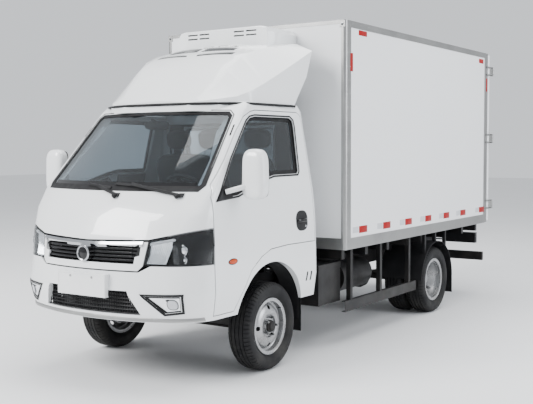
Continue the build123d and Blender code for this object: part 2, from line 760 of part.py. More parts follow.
with BuildPart() as box_rear_frame:
    add(slab(whole, (frame_front_y, frame_rear_y), (box_bottom, box_top)))
    inner = box_half - rear_frame_width
    add(slab((-inner, inner), (frame_front_y, frame_rear_y), (floor_height, ceiling_height)), mode=Mode.SUBTRACT)
keep(box_rear_frame, "box_rear_frame")

# Edge trims: a thin skin over the box's edges, open over the panels
post_width = 85
sill_height = 90
rim_height = 55
rear_strip = 45
with BuildPart() as box_edge_trim:
    add(box_outline(trim_thickness))
    add(slab((-2000, 2000), (frame_front_y, frame_rear_y), (0, 3000)), mode=Mode.SUBTRACT)
    add(box_block, mode=Mode.SUBTRACT)
    side_open = (box_front_y + post_width, frame_front_y - rear_strip)
    add(slab((-1000, 1000), side_open, (box_bottom + sill_height, box_top - rim_height)), mode=Mode.SUBTRACT)
    front_open = slab(
        (-box_half + 40, box_half - 40),
        (box_front_y - 10, box_front_y + 10),
        (box_bottom + sill_height, box_top - 30),
    )
    add(front_open, mode=Mode.SUBTRACT)
    floor_open = (box_front_y + 40, frame_front_y - rear_strip)
    add(slab((-box_half + 40, box_half - 40), floor_open, (box_bottom - 10, box_bottom + 10)), mode=Mode.SUBTRACT)
    add(slab((-1000, 1000), (box_front_y - 10, frame_front_y + 10), (box_top, box_top + 10)), mode=Mode.SUBTRACT)
    add(floor_bearers.part, mode=Mode.SUBTRACT)
keep(box_edge_trim, "box_edge_trim")

# Rear doors: two leaves over the portal, each on three hinges, with a lock bar
leaf_edge = 5
leaf_meet = 6
gasket_margin = 25
leaf_range = (box_bottom + 20, box_top - 15)
leaf_hinge_heights = (1000, 1730, 2470)
hinge_axis_x = box_half + hinge_outboard
eye_height = 40
hinge_pin = 6
with BuildPart() as rear_door_left:
    add(slab((leaf_meet, box_half - leaf_edge), (leaf_front_y, leaf_rear_y), leaf_range))
    gasket_range = (floor_height + gasket_margin, ceiling_height - gasket_margin)
    gasket_x = (leaf_meet + 20, box_half - rear_frame_width - gasket_margin)
    add(slab(gasket_x, (leaf_front_y - 30, leaf_front_y), gasket_range))
    for height in leaf_hinge_heights:
        strap_x = (box_half - 260, box_half - leaf_edge - 5)
        add(slab(strap_x, (leaf_rear_y, leaf_rear_y + 6), (height - 30, height + 30)))
        with BuildSketch(Plane.XY.offset(height - 30)):
            with BuildLine():
                Polyline(
                    (box_half - 60, leaf_rear_y), (box_half - 12, leaf_rear_y), (hinge_axis_x + 6, hinge_y - 8),
                    (hinge_axis_x - 8, hinge_y + 7), (box_half - 60, leaf_rear_y + 8), close=True,
                )
            make_face()
            with Locations((hinge_axis_x, hinge_y)):
                Circle(hinge_eye)
        extrude(amount=60)
        cut = rod((hinge_axis_x, hinge_y, height - 30), (hinge_axis_x, hinge_y, height + 30), hinge_pin + pin_gap)
        add(cut, mode=Mode.SUBTRACT)
    bar_x = 120
    add(rod((bar_x, leaf_rear_y + 16, leaf_range[0] + 30), (bar_x, leaf_rear_y + 16, leaf_range[1] - 30), 10))
    for height in (leaf_range[0] + 60, 1200, 1900, leaf_range[1] - 60):
        add(slab((bar_x - 35, bar_x + 35), (leaf_rear_y, leaf_rear_y + 14), (height - 20, height + 20)))
    add(slab((bar_x - 10, bar_x + 230), (leaf_rear_y + 22, leaf_rear_y + 30), (1240, 1268)))
    add(slab((bar_x + 205, bar_x + 235), (leaf_rear_y, leaf_rear_y + 22), (1228, 1280)))
keep(rear_door_left, "rear_door_left")

with BuildPart() as rear_door_right:
    mirror(rear_door_left.part, about=Plane.YZ)
keep(rear_door_right, "rear_door_right")

# The portal's share of each hinge: two plates with a pin, above and below the leaf's eye
with BuildPart() as rear_hinges:
    for side in (1, -1):
        for height in leaf_hinge_heights:
            for low, high in ((height - 50, height - 33), (height + 33, height + 50)):
                plate = sorted((side * box_half, side * (box_half + 8)))
                add(slab(plate, (frame_rear_y - 50, hinge_y), (low, high)))
                add(rod((side * hinge_axis_x, hinge_y, low), (side * hinge_axis_x, hinge_y, high), hinge_eye))
                across = sorted((side * (box_half + 1), side * hinge_axis_x))
                add(slab(across, (hinge_y - hinge_eye, hinge_y + hinge_eye - 3), (low, high)))
            add(rod((side * hinge_axis_x, hinge_y, height - 50), (side * hinge_axis_x, hinge_y, height + 50), hinge_pin))
keep(rear_hinges, "rear_hinges")

# Roof fairing: cross sections from the front lip back, each a low crown, two flanks and two cheeks
# Columns: place, half width at the foot, half width and height at the shoulder, the same at the brow, crown height
Rib = namedtuple("Rib", "y foot shoulder shoulder_z brow brow_z crown_z")
fairing_ribs = [
    Rib(-330, 330, 300, 1965, 200, 1975, 1985),
    Rib(-240, 540, 510, 1990, 400, 2020, 2065),
    Rib(-130, 630, 600, 2010, 440, 2118, 2165),
    Rib(-30, 676, 650, 2050, 450, 2222, 2262),
    Rib(120, 684, 672, 2112, 470, 2330, 2360),
    Rib(280, 688, 685, 2185, 500, 2388, 2425),
    Rib(480, 694, 710, 2285, 540, 2430, 2465),
    Rib(700, 700, 745, 2400, 600, 2462, 2490),
]
fairing_wall = 12
fairing_foot = 1905
fairing_back = [(500, 1800), (500, 1950), (650, 2190), (700, 2395), (700, 2600), (1200, 2600), (1200, 1800)]


def fairing_form(inset):
    with BuildPart() as form:
        for rib in fairing_ribs:
            place = axle_y + rib.y + (inset if rib is fairing_ribs[0] else 0)
            with BuildSketch(Plane((0, place, 0), x_dir=(1, 0, 0), z_dir=(0, -1, 0))):
                with BuildLine():
                    brow = (rib.brow - inset, rib.brow_z - inset)
                    shoulder = (rib.shoulder - inset, rib.shoulder_z - inset)
                    ThreePointArc((-brow[0], brow[1]), (0, rib.crown_z - inset), brow)
                    Polyline(
                        brow,
                        shoulder,
                        (rib.foot - inset, fairing_foot),
                        (inset - rib.foot, fairing_foot),
                        (-shoulder[0], shoulder[1]),
                        (-brow[0], brow[1]),
                    )
                make_face()
        loft(ruled=True)
    return form.part


with BuildPart() as roof_fairing:
    add(fairing_form(0))
    add(fairing_form(fairing_wall), mode=Mode.SUBTRACT)
    add(cab_outer.part, mode=Mode.SUBTRACT)
    add(side_prism(fairing_back, (-1000, 1000)), mode=Mode.SUBTRACT)
    slots = [(-330, 330, 395, 425), (-360, 360, 465, 495), (-300, 300, 535, 560)]
    for left, right, near, far in slots:
        for x_range in ((left, -12), (12, right)):
            add(slab(x_range, from_axle((near, far)), (2300, 2600)), mode=Mode.SUBTRACT)
keep(roof_fairing, "roof_fairing")

# Cooling: condenser on the box front behind the fairing, evaporator under the ceiling inside
condenser_half = 470
condenser_range = (2080, 2360)
condenser_depth = 220
fan_radius = 105
with BuildPart() as condenser_unit:
    with BuildSketch(Plane.YZ.offset(-condenser_half)):
        with BuildLine():
            Polyline(
                (box_front_y, condenser_range[0]), (box_front_y - condenser_depth, condenser_range[0] + 40),
                (box_front_y - condenser_depth, condenser_range[1] - 70),
                (box_front_y - condenser_depth + 60, condenser_range[1]),
                (box_front_y, condenser_range[1]), close=True,
            )
        make_face()
    extrude(amount=2 * condenser_half)
    fan_middle = (condenser_range[0] + condenser_range[1]) / 2 - 15
    face = Plane((0, box_front_y - condenser_depth, fan_middle), x_dir=(1, 0, 0), z_dir=(0, -1, 0))
    with BuildSketch(face):
        with Locations((-210, 0), (210, 0)):
            Circle(fan_radius)
            Circle(fan_radius * 0.35, mode=Mode.SUBTRACT)
    extrude(amount=-45, mode=Mode.SUBTRACT)
    add(box_edge_trim.part, mode=Mode.SUBTRACT)
    add(box_front_wall.part, mode=Mode.SUBTRACT)
keep(condenser_unit, "condenser_unit")

evaporator_half = 500
with BuildPart() as evaporator_unit:
    inside_front = box_front_y + front_wall_depth
    with BuildSketch(Plane.YZ.offset(-evaporator_half)):
        with BuildLine():
            Polyline(
                (inside_front, ceiling_height), (inside_front, ceiling_height - 200),
                (inside_front + 320, ceiling_height - 200), (inside_front + 430, ceiling_height - 120),
                (inside_front + 430, ceiling_height), close=True,
            )
        make_face()
    extrude(amount=2 * evaporator_half)
    with BuildSketch(Plane.XY.offset(ceiling_height - 200)):
        with Locations((-240, inside_front + 170), (240, inside_front + 170)):
            Circle(fan_radius)
            Circle(fan_radius * 0.35, mode=Mode.SUBTRACT)
    extrude(amount=45, mode=Mode.SUBTRACT)
keep(evaporator_unit, "evaporator_unit")

# Dashboard with the steering column, and the wheel on the column's end
column_foot = Vector(360, axle_y - 650, 1040)
column_end = Vector(360, axle_y - 370, 1300)
column_line = (column_end - column_foot).normalized()
dash_inset = 108
dash_outline = [(-1100, 960), (-620, 960), (-590, 1040), (-560, 1180), (-600, 1262), (-700, 1275), (-1100, 1260)]
with BuildPart() as dashboard:
    add(cab_room.part)
    add(side_prism(dash_outline, (-1000, 1000)), mode=Mode.INTERSECT)
    add(cab_body(dash_inset), mode=Mode.INTERSECT)
    with BuildSketch(Plane.YZ.offset(190)):
        with BuildLine():
            hood = [(-760, 1240), (-610, 1240), (-585, 1300), (-640, 1330), (-720, 1325)]
            Polyline(*[(axle_y + y, z) for y, z in hood], close=True)
        make_face()
    extrude(amount=340)
    add(side_prism([(-760, 700), (-620, 700), (-620, 1000), (-760, 1000)], (-110, 110)))
    add(side_prism([(-760, floor_top), (-620, floor_top), (-600, 1000), (-760, 1000)], (-110, 110)))
    add(rod(column_foot, column_end - column_line * 38.5, 28))
keep(dashboard, "dashboard")

wheel_radius = 190
wheel_grip = 14
with BuildPart() as steering_wheel:
    rim_plane = Plane(origin=column_end, x_dir=(1, 0, 0), z_dir=column_line)
    with BuildSketch(Plane(origin=column_end, x_dir=(1, 0, 0), z_dir=column_line.cross(Vector(1, 0, 0)))):
        with Locations((wheel_radius, 0)):
            Circle(wheel_grip)
    revolve(axis=Axis(column_end, column_line))
    add(rod(column_end - column_line * 38, column_end + column_line * 8, 48))
    with BuildSketch(rim_plane.offset(-16)):
        for angle in (0, 180, 270):
            with Locations(Location((0, 0), angle)):
                with Locations((wheel_radius / 2, 0)):
                    Rectangle(wheel_radius, 34)
        Circle(wheel_radius + 2, mode=Mode.INTERSECT)
    extrude(amount=12)
keep(steering_wheel, "steering_wheel")

# Seats: a driver's seat and a double seat on the raised deck, plain inside
# Columns: middle, width
seat_rows = [(365, 500), (-265, 700)]
cushion_outline = [(-130, 1000), (290, 985), (330, 1010), (320, 1090), (-100, 1120), (-150, 1080)]
back_outline = [(300, 1095), (390, 1105), (530, 1560), (500, 1600), (420, 1600), (390, 1560)]
head_outline = [(422, 1620), (510, 1620), (540, 1770), (510, 1800), (440, 1800), (415, 1770)]
with BuildPart() as cab_seats:
    for middle, width in seat_rows:
        half = width / 2
        add(side_prism(cushion_outline, (middle - half, middle + half)))
        add(side_prism(back_outline, (middle - half + 15, middle + half - 15)))
        heads = (middle,) if width < 600 else (middle - 170, middle + 170)
        for head in heads:
            add(side_prism(head_outline, (head - 125, head + 125)))
            for x in (-50, 50):
                add(rod((head + x, axle_y + 462, 1580), (head + x, axle_y + 462, 1640), 6))
        add(slab((middle - half + 40, middle + half - 40), from_axle((-70, 310)), (deck_top, 1000)))
        add(side_prism([(260, 1000), (400, 1030), (400, 1120), (260, 1100)], (middle - half + 20, middle + half - 20)))
keep(cab_seats, "cab_seats")

# Under the floor: engine block, gearbox and shaft; exhaust; tank; battery box
with BuildPart() as powertrain:
    add(slab((-235, 235), from_axle((-380, 260)), (430, deck_top - floor_depth - 25)))
    add(slab((-150, 150), from_axle((260, 780)), (440, 700)))
    for side in (1, -1):
        mount = sorted((side * 200, side * (rail_outer - rail_web - seat_gap)))
        add(slab(mount, from_axle((-120, -60)), (rail_bottom + rail_web + seat_gap, rail_bottom + 70)))
keep(powertrain, "powertrain")

shaft_radius = 38
with BuildPart() as drive_shaft:
    add(rod((0, axle_y + 779, 470), (0, rear_axle_y - 234, tyre_radius + 6), shaft_radius))
    add(slab((-60, 60), from_axle((1470, 1530)), (rail_bottom - 90, rail_bottom + 15)))
    add(powertrain.part, mode=Mode.SUBTRACT)
keep(drive_shaft, "drive_shaft")

with BuildPart() as exhaust:
    add(rod((-262, axle_y + 100, 470), (-262, axle_y + 1030, 420), 22))
    add(rod((-262, axle_y + 1000, 405), (-262, axle_y + 1660, 405), 82))
    add(rod((-262, axle_y + 1600, 405), (-262, axle_y + 2130, 440), 22))
    add(rod((-262, axle_y + 2120, 440), (-640, axle_y + 2240, 430), 22))
    for y in (1060, 1560):
        add(slab((-rail_outer + 10, -rail_outer + 40), from_axle((y, y + 40)), (430, rail_bottom)))
    add(slab((-262, -235), from_axle((120, 160)), (455, 485)))
keep(exhaust, "exhaust")

with BuildPart() as fuel_tank:
    with BuildSketch(Plane.XZ.offset(-(axle_y + 1050))):
        with Locations((-590, 500)):
            RectangleRounded(400, 340, 60)
    extrude(amount=-700)
    for y in (1150, 1600):
        add(slab((-800, -rail_outer), from_axle((y, y + 45)), (670, 678)))
        add(slab((-rail_outer - 8, -rail_outer), from_axle((y, y + 45)), (rail_bottom, 678)))
keep(fuel_tank, "fuel_tank")

with BuildPart() as battery_box:
    add(slab((400, 790), from_axle((720, 1080)), (360, 650)))
    add(slab((395, 795), from_axle((715, 1085)), (650, 690)))
    for y in (760, 1000):
        add(slab((rail_outer, 402), from_axle((y, y + 40)), (rail_bottom + 10, 640)))
    with BuildSketch(Plane.XZ.offset(-(axle_y + 1250))):
        with Locations((600, 520)):
            Circle(135)
    extrude(amount=-520)
    for y in (1330, 1640):
        add(slab((rail_outer, 610), from_axle((y, y + 40)), (560, 600)))
keep(battery_box, "battery_box")

# Side guards, mudguards, underrun bar and lamps
guard_face = 865
guard_range = (275, 365)
guard_ends = (1030, 2440)
guard_posts = (1150, 1700, 2300)
with BuildPart() as side_guards:
    for side in (1, -1):
        plank = sorted((side * (guard_face - 34), side * guard_face))
        add(slab(plank, from_axle(guard_ends), guard_range))
        groove = sorted((side * (guard_face - 34), side * (guard_face - 4)))
        add(slab(groove, from_axle(guard_ends), (guard_range[0] + 5, guard_range[1] - 5)), mode=Mode.SUBTRACT)
        for y in guard_posts:
            post = sorted((side * (guard_face - 44), side * (guard_face - 4)))
            add(slab(post, from_axle((y - 20, y + 20)), (guard_range[0] + 4, box_bottom)))
    add(floor_bearers.part, mode=Mode.SUBTRACT)
keep(side_guards, "side_guards")

guard_radius = 385
with BuildPart() as rear_mudguards:
    for side in (1, -1):
        inner_x = rear_inner - tyre_half_width - 10
        start = inner_x if side == 1 else -(box_half - 10)
        with BuildSketch(Plane.YZ.offset(start)):
            with Locations((rear_axle_y, tyre_radius)):
                Circle(guard_radius)
                Circle(guard_radius - 5, mode=Mode.SUBTRACT)
                with Locations((0, -guard_radius + 40)):
                    Rectangle(2 * guard_radius + 10, 2 * guard_radius, mode=Mode.SUBTRACT)
        extrude(amount=box_half - 10 - inner_x)
        across = sorted((side * inner_x, side * (box_half - 10)))
        flap_y = rear_axle_y + 383
        add(slab(across, (flap_y - 5, flap_y), (150, tyre_radius + 42)))
        for y in (-250, 0, 250):
            top = sqrt(guard_radius**2 - y**2) + tyre_radius
            strut = sorted((side * (inner_x + 30), side * (inner_x + 60)))
            add(slab(strut, (rear_axle_y + y - 15, rear_axle_y + y + 15), (top - 8, box_bottom)))
            strut = sorted((side * (box_half - 60), side * (box_half - 30)))
            add(slab(strut, (rear_axle_y + y - 15, rear_axle_y + y + 15), (top - 8, box_bottom)))
    add(floor_bearers.part, mode=Mode.SUBTRACT)
    add(box_edge_trim.part, mode=Mode.SUBTRACT)
keep(rear_mudguards, "rear_mudguards")

underrun_half = 870
underrun_range = (372, 466)
underrun_y = (4205, 4245)
with BuildPart() as rear_underrun:
    add(slab((-underrun_half, underrun_half), from_axle(underrun_y), underrun_range))
    for side in (1, -1):
        arm = sorted((side * (rail_outer + 2), side * (rail_outer + 12)))
        add(slab(arm, from_axle((4040, underrun_y[0] + 5)), (underrun_range[0], rail_bottom + 60)))
        pad = sorted((side * rail_outer, side * (rail_outer + 12)))
        add(slab(pad, from_axle((4040, rail_rear)), (rail_bottom + 10, rail_bottom + 60)))
keep(rear_underrun, "rear_underrun")

# Towing eye: a level plate on the rear cross tube, its bore upright
tow_eye_radius = 20
tow_eye_rim = 20
tow_eye_depth = 20
tow_eye_y = 4172
tow_eye_z = 545
with BuildPart() as tow_eye:
    eye = Vector(0, axle_y + tow_eye_y, tow_eye_z)
    tube_back = cross_tubes[-1] + 30
    half = tow_eye_radius + tow_eye_rim
    add(rod(eye, eye + Vector(0, 0, tow_eye_depth), half))
    add(slab((-half, half), from_axle((tube_back, tow_eye_y)), (tow_eye_z, tow_eye_z + tow_eye_depth)))
    add(slab((-half - 5, half + 5), from_axle((tube_back, tube_back + 10)), (rail_bottom + 15, rail_top - 15)))
    add(rod(eye, eye + Vector(0, 0, tow_eye_depth), tow_eye_radius), mode=Mode.SUBTRACT)
keep(tow_eye, "tow_eye")

with BuildPart() as tail_lamps:
    for side in (1, -1):
        lamp = sorted((side * 440, side * 800))
        add(slab(lamp, from_axle((4170, 4230)), (565, 680)))
        arm = sorted((side * rail_outer, side * 445))
        add(slab(arm, from_axle((4100, 4190)), (590, 600)))
keep(tail_lamps, "tail_lamps")

# Wipers: arms and blades that follow the screen, as strips between two insets
# Columns: pivot across and height, elbow, blade ends
wiper_sets = [
    ((132, 1316), (-95, 1378), (-200, 1385), (40, 1362)),
    ((610, 1320), (200, 1392), (60, 1392), (340, 1372)),
]
wiper_cap = 14


def strip(start, end, width):
    """An upright outline of a straight strip in the front view."""
    line = Vector(end[0] - start[0], end[1] - start[1]).normalized() * (width / 2)
    side = Vector(-line.Y, line.X)
    return [
        (start[0] + side.X, start[1] + side.Y), (end[0] + side.X, end[1] + side.Y),
        (end[0] - side.X, end[1] - side.Y), (start[0] - side.X, start[1] - side.Y),
    ]


with BuildPart() as wipers:
    arms = cab_layer(-16, -4)
    blades = cab_layer(-8, glass_setback)
    for pivot, elbow, blade_start, blade_end in wiper_sets:
        add(arms & front_prism(strip(pivot, elbow, 16), (-1200, -500)))
        add(blades & front_prism(strip(blade_start, blade_end, 14), (-1200, -500)))
        cap = strip((pivot[0] - wiper_cap, pivot[1]), (pivot[0] + wiper_cap, pivot[1]), 2 * wiper_cap)
        add(cab_layer(-18, 0) & front_prism(cap, (-1200, -500)))
keep(wipers, "wipers")

# Mirrors: a rounded housing on an arm from the door's front corner
mirror_middle = Vector(965, axle_y - 414, 1455)
mirror_size = (165, 90, 345)
mirror_foot = [(-650, 1282), (-548, 1400), (-460, 1322), (-480, 1290)]
mirror_foot_depth = 14
mirror_foot_x = 812
with BuildPart() as mirror_left:
    with BuildSketch(Plane.XY.offset(mirror_middle.Z - mirror_size[2] / 2)):
        with Locations((mirror_middle.X, mirror_middle.Y)):
            Rectangle(mirror_size[0], mirror_size[1])
    extrude(amount=mirror_size[2])
    fillet(mirror_left.edges().filter_by(Axis.Y), radius=45)
    fillet(mirror_left.faces().sort_by(Axis.Y)[0].edges(), radius=28)
    add(rod((mirror_foot_x, axle_y - 545, 1335), (935, axle_y - 430, 1390), 15))
    add(cab_layer(-mirror_foot_depth, -seat_gap) & side_prism(mirror_foot, (600, 1000)))
keep(mirror_left, "mirror_left")

with BuildPart() as mirror_right:
    mirror(mirror_left.part, about=Plane.YZ)
keep(mirror_right, "mirror_right")
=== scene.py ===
import json
from math import cos, pi, radians, sin, tau

import bmesh
import bpy
from mathutils import Matrix, Vector
from mathutils.bvhtree import BVHTree


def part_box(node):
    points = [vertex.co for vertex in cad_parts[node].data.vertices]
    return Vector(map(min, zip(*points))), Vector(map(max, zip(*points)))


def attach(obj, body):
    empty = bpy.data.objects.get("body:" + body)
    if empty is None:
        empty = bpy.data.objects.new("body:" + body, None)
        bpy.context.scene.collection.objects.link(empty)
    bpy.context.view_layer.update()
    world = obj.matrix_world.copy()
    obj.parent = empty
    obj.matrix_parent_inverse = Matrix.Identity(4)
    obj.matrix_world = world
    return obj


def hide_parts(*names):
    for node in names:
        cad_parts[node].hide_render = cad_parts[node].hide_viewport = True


# Looks of the refrigerated truck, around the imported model. Metres; +Z is up and the front faces -Y.
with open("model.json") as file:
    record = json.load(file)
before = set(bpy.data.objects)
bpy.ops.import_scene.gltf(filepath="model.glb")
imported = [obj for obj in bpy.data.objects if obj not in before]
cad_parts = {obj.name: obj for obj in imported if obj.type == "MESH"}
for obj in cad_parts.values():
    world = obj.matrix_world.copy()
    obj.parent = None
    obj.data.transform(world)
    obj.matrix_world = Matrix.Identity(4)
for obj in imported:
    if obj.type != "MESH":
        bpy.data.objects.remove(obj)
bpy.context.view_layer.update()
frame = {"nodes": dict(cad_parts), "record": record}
nodes = frame["nodes"]
scene = bpy.context.scene

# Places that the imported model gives
FRONT_WHEEL = sum(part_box("wheel_front_left"), Vector()) / 2
AXLE_Y, HUB_Z = FRONT_WHEEL.y, FRONT_WHEEL.z
REAR_AXLE_Y = (sum(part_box("tyres_rear_left"), Vector()) / 2).y
SIDES = ((1, "left"), (-1, "right"))


# Materials

class Shader:
    """One node material: a principled surface whose colour, gloss and bump come from noise."""

    def __init__(self, name, colour, rough, **sockets):
        self.material = bpy.data.materials.new(name)
        self.material.use_nodes = True
        self.tree = self.material.node_tree
        self.surface = self.tree.nodes["Principled BSDF"]
        self.colour = (*colour, 1)
        self.rough = rough
        self.bump = None
        self.feed(self.surface, {"Base Color": self.colour, "Roughness": rough})
        self.feed(self.surface, {socket.replace("_", " "): value for socket, value in sockets.items()})
        self.place = self.node("ShaderNodeTexCoord").outputs["Object"]

    def feed(self, node, inputs):
        """Sets a node's inputs, or links them to other nodes' outputs."""
        for socket, value in inputs.items():
            if isinstance(value, bpy.types.NodeSocket):
                self.tree.links.new(value, node.inputs[socket])
            else:
                node.inputs[socket].default_value = value

    def node(self, kind, inputs=None, **settings):
        made = self.tree.nodes.new(kind)
        for name, value in settings.items():
            setattr(made, name, value)
        self.feed(made, inputs or {})
        return made

    def along(self, axis):
        return self.node("ShaderNodeSeparateXYZ", {"Vector": self.place}).outputs[axis]

    def noise(self, scale, detail, stretch=(1, 1, 1)):
        """Noise over the surface's own coordinates, drawn out along an axis."""
        mapping = self.node("ShaderNodeMapping", {"Vector": self.place, "Scale": stretch})
        inputs = {"Vector": mapping.outputs["Vector"], "Scale": scale, "Detail": detail}
        return self.node("ShaderNodeTexNoise", inputs).outputs["Fac"]

    def ranged(self, value, low, high, to_low=0.0, to_high=1.0):
        inputs = {"Value": value, "From Min": low, "From Max": high, "To Min": to_low, "To Max": to_high}
        return self.node("ShaderNodeMapRange", inputs).outputs["Result"]

    def tinted(self, factor, colour):
        """Mixes another colour in where a factor says."""
        base = self.surface.inputs["Base Color"]
        below = base.links[0].from_socket if base.is_linked else self.colour
        mix = self.node("ShaderNodeMix", {"A": below, "B": (*colour, 1), "Factor": factor}, data_type="RGBA")
        self.feed(self.surface, {"Base Color": mix.outputs["Result"]})
        return self

    def mottled(self, colour, scale, low=0.45, high=0.75):
        return self.tinted(self.ranged(self.noise(scale, 5.0), low, high), colour)

    def dusty(self, colour, top, strength):
        """Road dust that thickens towards the ground."""
        height = self.ranged(self.along("Z"), top, 0.15, 0.0, strength)
        patches = self.ranged(self.noise(7.0, 6.0), 0.35, 0.7)
        both = self.node("ShaderNodeMath", {0: height, 1: patches}, operation="MULTIPLY")
        return self.tinted(both.outputs["Value"], colour)

    def fitted(self, colour, beyond):
        """Another colour and bare metal on what stands out behind a place, such as hinges and bars."""
        past = self.node("ShaderNodeMath", {0: self.along("Y"), 1: beyond}, operation="GREATER_THAN")
        self.feed(self.surface, {"Metallic": past.outputs["Value"]})
        return self.tinted(past.outputs["Value"], colour)

    def uneven(self, change, scale):
        """Gloss that varies over the surface."""
        rough = self.ranged(self.noise(scale, 4.0), 0.3, 0.7, self.rough - change, self.rough + change)
        self.feed(self.surface, {"Roughness": rough})
        return self

    def bumped(self, height, strength, distance):
        bump = self.node("ShaderNodeBump", {"Strength": strength, "Distance": distance, "Height": height})
        if self.bump:
            self.feed(bump, {"Normal": self.bump})
        self.bump = bump.outputs["Normal"]
        self.feed(self.surface, {"Normal": self.bump})
        return self

    def grained(self, scale, strength, distance, stretch=(1, 1, 1)):
        return self.bumped(self.noise(scale, 2.0, stretch), strength, distance)


def woven(shader, pitch):
    """The over and under of a plain weave, from two crossed waves."""
    for axis in ("X", "Z"):
        inputs = {"Vector": shader.place, "Scale": 1 / pitch, "Distortion": 0.4}
        wave = shader.node("ShaderNodeTexWave", inputs, wave_type="BANDS", bands_direction=axis)
        shader.bumped(wave.outputs["Fac"], 0.5, pitch / 4)


DUST = (0.35, 0.32, 0.28)

paint = Shader("cab_paint", (0.83, 0.845, 0.85), 0.28, Coat_Weight=1.0, Coat_Roughness=0.04)
paint.mottled((0.80, 0.815, 0.825), 1.3).dusty(DUST, 0.75, 0.22).grained(260, 0.03, 0.0004)
DULL = {"Specular_IOR_Level": 0.22}
PANEL_LOOK = {"colour": (0.84, 0.85, 0.86), "rough": 0.3, "Coat_Weight": 0.4, "Coat_Roughness": 0.12}
panel = Shader("box_panel", **PANEL_LOOK)
panel.mottled((0.825, 0.837, 0.85), 0.9).uneven(0.02, 3.0).grained(60, 0.05, 0.0008)
aluminium = Shader("bare_aluminium", (0.37, 0.37, 0.365), 0.36, Metallic=1.0)
aluminium.mottled((0.29, 0.29, 0.285), 3.0).uneven(0.08, 5.0).grained(90, 0.12, 0.0004, (12, 1, 12))
chrome = Shader("bright_chrome", (0.50, 0.51, 0.53), 0.08, Metallic=1.0)
chrome.mottled((0.5, 0.51, 0.53), 8.0).uneven(0.03, 12.0)
dark_chrome = Shader("dark_chrome", (0.20, 0.205, 0.21), 0.16, Metallic=1.0)
dark_chrome.mottled((0.14, 0.145, 0.15), 9.0).uneven(0.05, 12.0)
plastic = Shader("grained_plastic", (0.010, 0.010, 0.011), 0.45, **DULL)
plastic.mottled((0.018, 0.018, 0.019), 6.0).uneven(0.08, 14.0).grained(900, 0.25, 0.0004)
# Gloss black for black parts; also laid as painted shade on slots, vents and behind the intake.
gloss_black_and_painted_shade = Shader("gloss_black_and_painted_shade", (0.004, 0.004, 0.005), 0.1, Specular_IOR_Level=0.4)
gloss_black_and_painted_shade.mottled((0.008, 0.008, 0.009), 5.0).uneven(0.04, 10.0)
rubber = Shader("seal_rubber", (0.007, 0.007, 0.008), 0.55, **DULL)
rubber.mottled((0.014, 0.014, 0.014), 11.0).uneven(0.1, 20.0).grained(500, 0.2, 0.0003)
tyre_rubber = Shader("tyre_rubber", (0.008, 0.008, 0.009), 0.62, **DULL)
tyre_rubber.mottled((0.018, 0.018, 0.017), 7.0).dusty((0.05, 0.047, 0.042), 0.5, 0.35).uneven(0.1, 9.0)
tyre_rubber.grained(420, 0.3, 0.0006)
rim_paint = Shader("rim_silver", (0.40, 0.405, 0.41), 0.3, Metallic=0.75)
rim_paint.mottled((0.30, 0.30, 0.31), 5.0).dusty((0.2, 0.18, 0.16), 0.45, 0.5).uneven(0.08, 11.0)
rim_paint.grained(300, 0.08, 0.0004)
frame_paint = Shader("frame_black", (0.007, 0.007, 0.008), 0.42, **DULL)
frame_paint.mottled((0.016, 0.015, 0.014), 4.0).dusty((0.05, 0.046, 0.04), 0.8, 0.4).uneven(0.12, 8.0)
frame_paint.grained(220, 0.2, 0.0006)
cast = Shader("cast_metal", (0.06, 0.06, 0.062), 0.55, Metallic=0.6)
cast.mottled((0.04, 0.034, 0.028), 6.0).uneven(0.1, 9.0).grained(160, 0.4, 0.001)
hot_steel = Shader("exhaust_steel", (0.3, 0.27, 0.24), 0.45, Metallic=0.9)
hot_steel.mottled((0.2, 0.12, 0.07), 8.0, 0.5, 0.7).uneven(0.12, 10.0).grained(200, 0.2, 0.0005)
seat_cloth = Shader("seat_cloth", (0.016, 0.016, 0.019), 0.85, Sheen_Weight=0.4, Sheen_Roughness=0.5)
seat_cloth.mottled((0.028, 0.028, 0.032), 30.0)
woven(seat_cloth, 0.004)
dash_plastic = Shader("dash_plastic", (0.022, 0.023, 0.026), 0.6, **DULL)
dash_plastic.mottled((0.034, 0.035, 0.039), 5.0).uneven(0.08, 13.0).grained(700, 0.3, 0.0005)
floor_deck = Shader("floor_deck", (0.3, 0.31, 0.32), 0.5)
floor_deck.mottled((0.22, 0.225, 0.23), 5.0).uneven(0.1, 8.0).grained(120, 0.4, 0.001)
unit_white = Shader("unit_white", (0.62, 0.63, 0.64), 0.4)
unit_white.mottled((0.55, 0.56, 0.57), 5.0).uneven(0.06, 9.0).grained(400, 0.1, 0.0004)
plate_blank = Shader("plate_blank", (0.8, 0.81, 0.81), 0.35)
plate_blank.mottled((0.74, 0.75, 0.76), 8.0).uneven(0.05, 12.0)
glass = Shader("clear_glass", (0.44, 0.50, 0.54), 0.02, Transmission_Weight=1.0, IOR=1.45)
glass.mottled((0.39, 0.45, 0.49), 2.0).grained(3, 0.02, 0.001)
lens = Shader("clear_lens", (0.93, 0.95, 0.96), 0.03, Transmission_Weight=1.0, IOR=1.25)
lens.mottled((0.88, 0.91, 0.93), 9.0)
mirror_glass = Shader("mirror_glass", (0.72, 0.76, 0.78), 0.03, Metallic=1.0)
mirror_glass.mottled((0.68, 0.72, 0.75), 4.0)
red_lens = Shader("red_lens", (0.20, 0.001, 0.002), 0.16, Specular_IOR_Level=0.4)
red_lens.mottled((0.13, 0.001, 0.001), 40.0).grained(350, 0.35, 0.0006)
amber_lens = Shader("amber_lens", (0.50, 0.05, 0.001), 0.16, Specular_IOR_Level=0.4)
amber_lens.mottled((0.36, 0.03, 0.001), 40.0).grained(350, 0.35, 0.0006)
red_film = Shader("red_reflector", (0.33, 0.0005, 0.001), 0.4, Specular_IOR_Level=0.2)
red_film.mottled((0.20, 0.0005, 0.001), 60.0).grained(900, 0.3, 0.0003)
white_film = Shader("white_reflector", (0.56, 0.57, 0.60), 0.3, Coat_Weight=0.3)
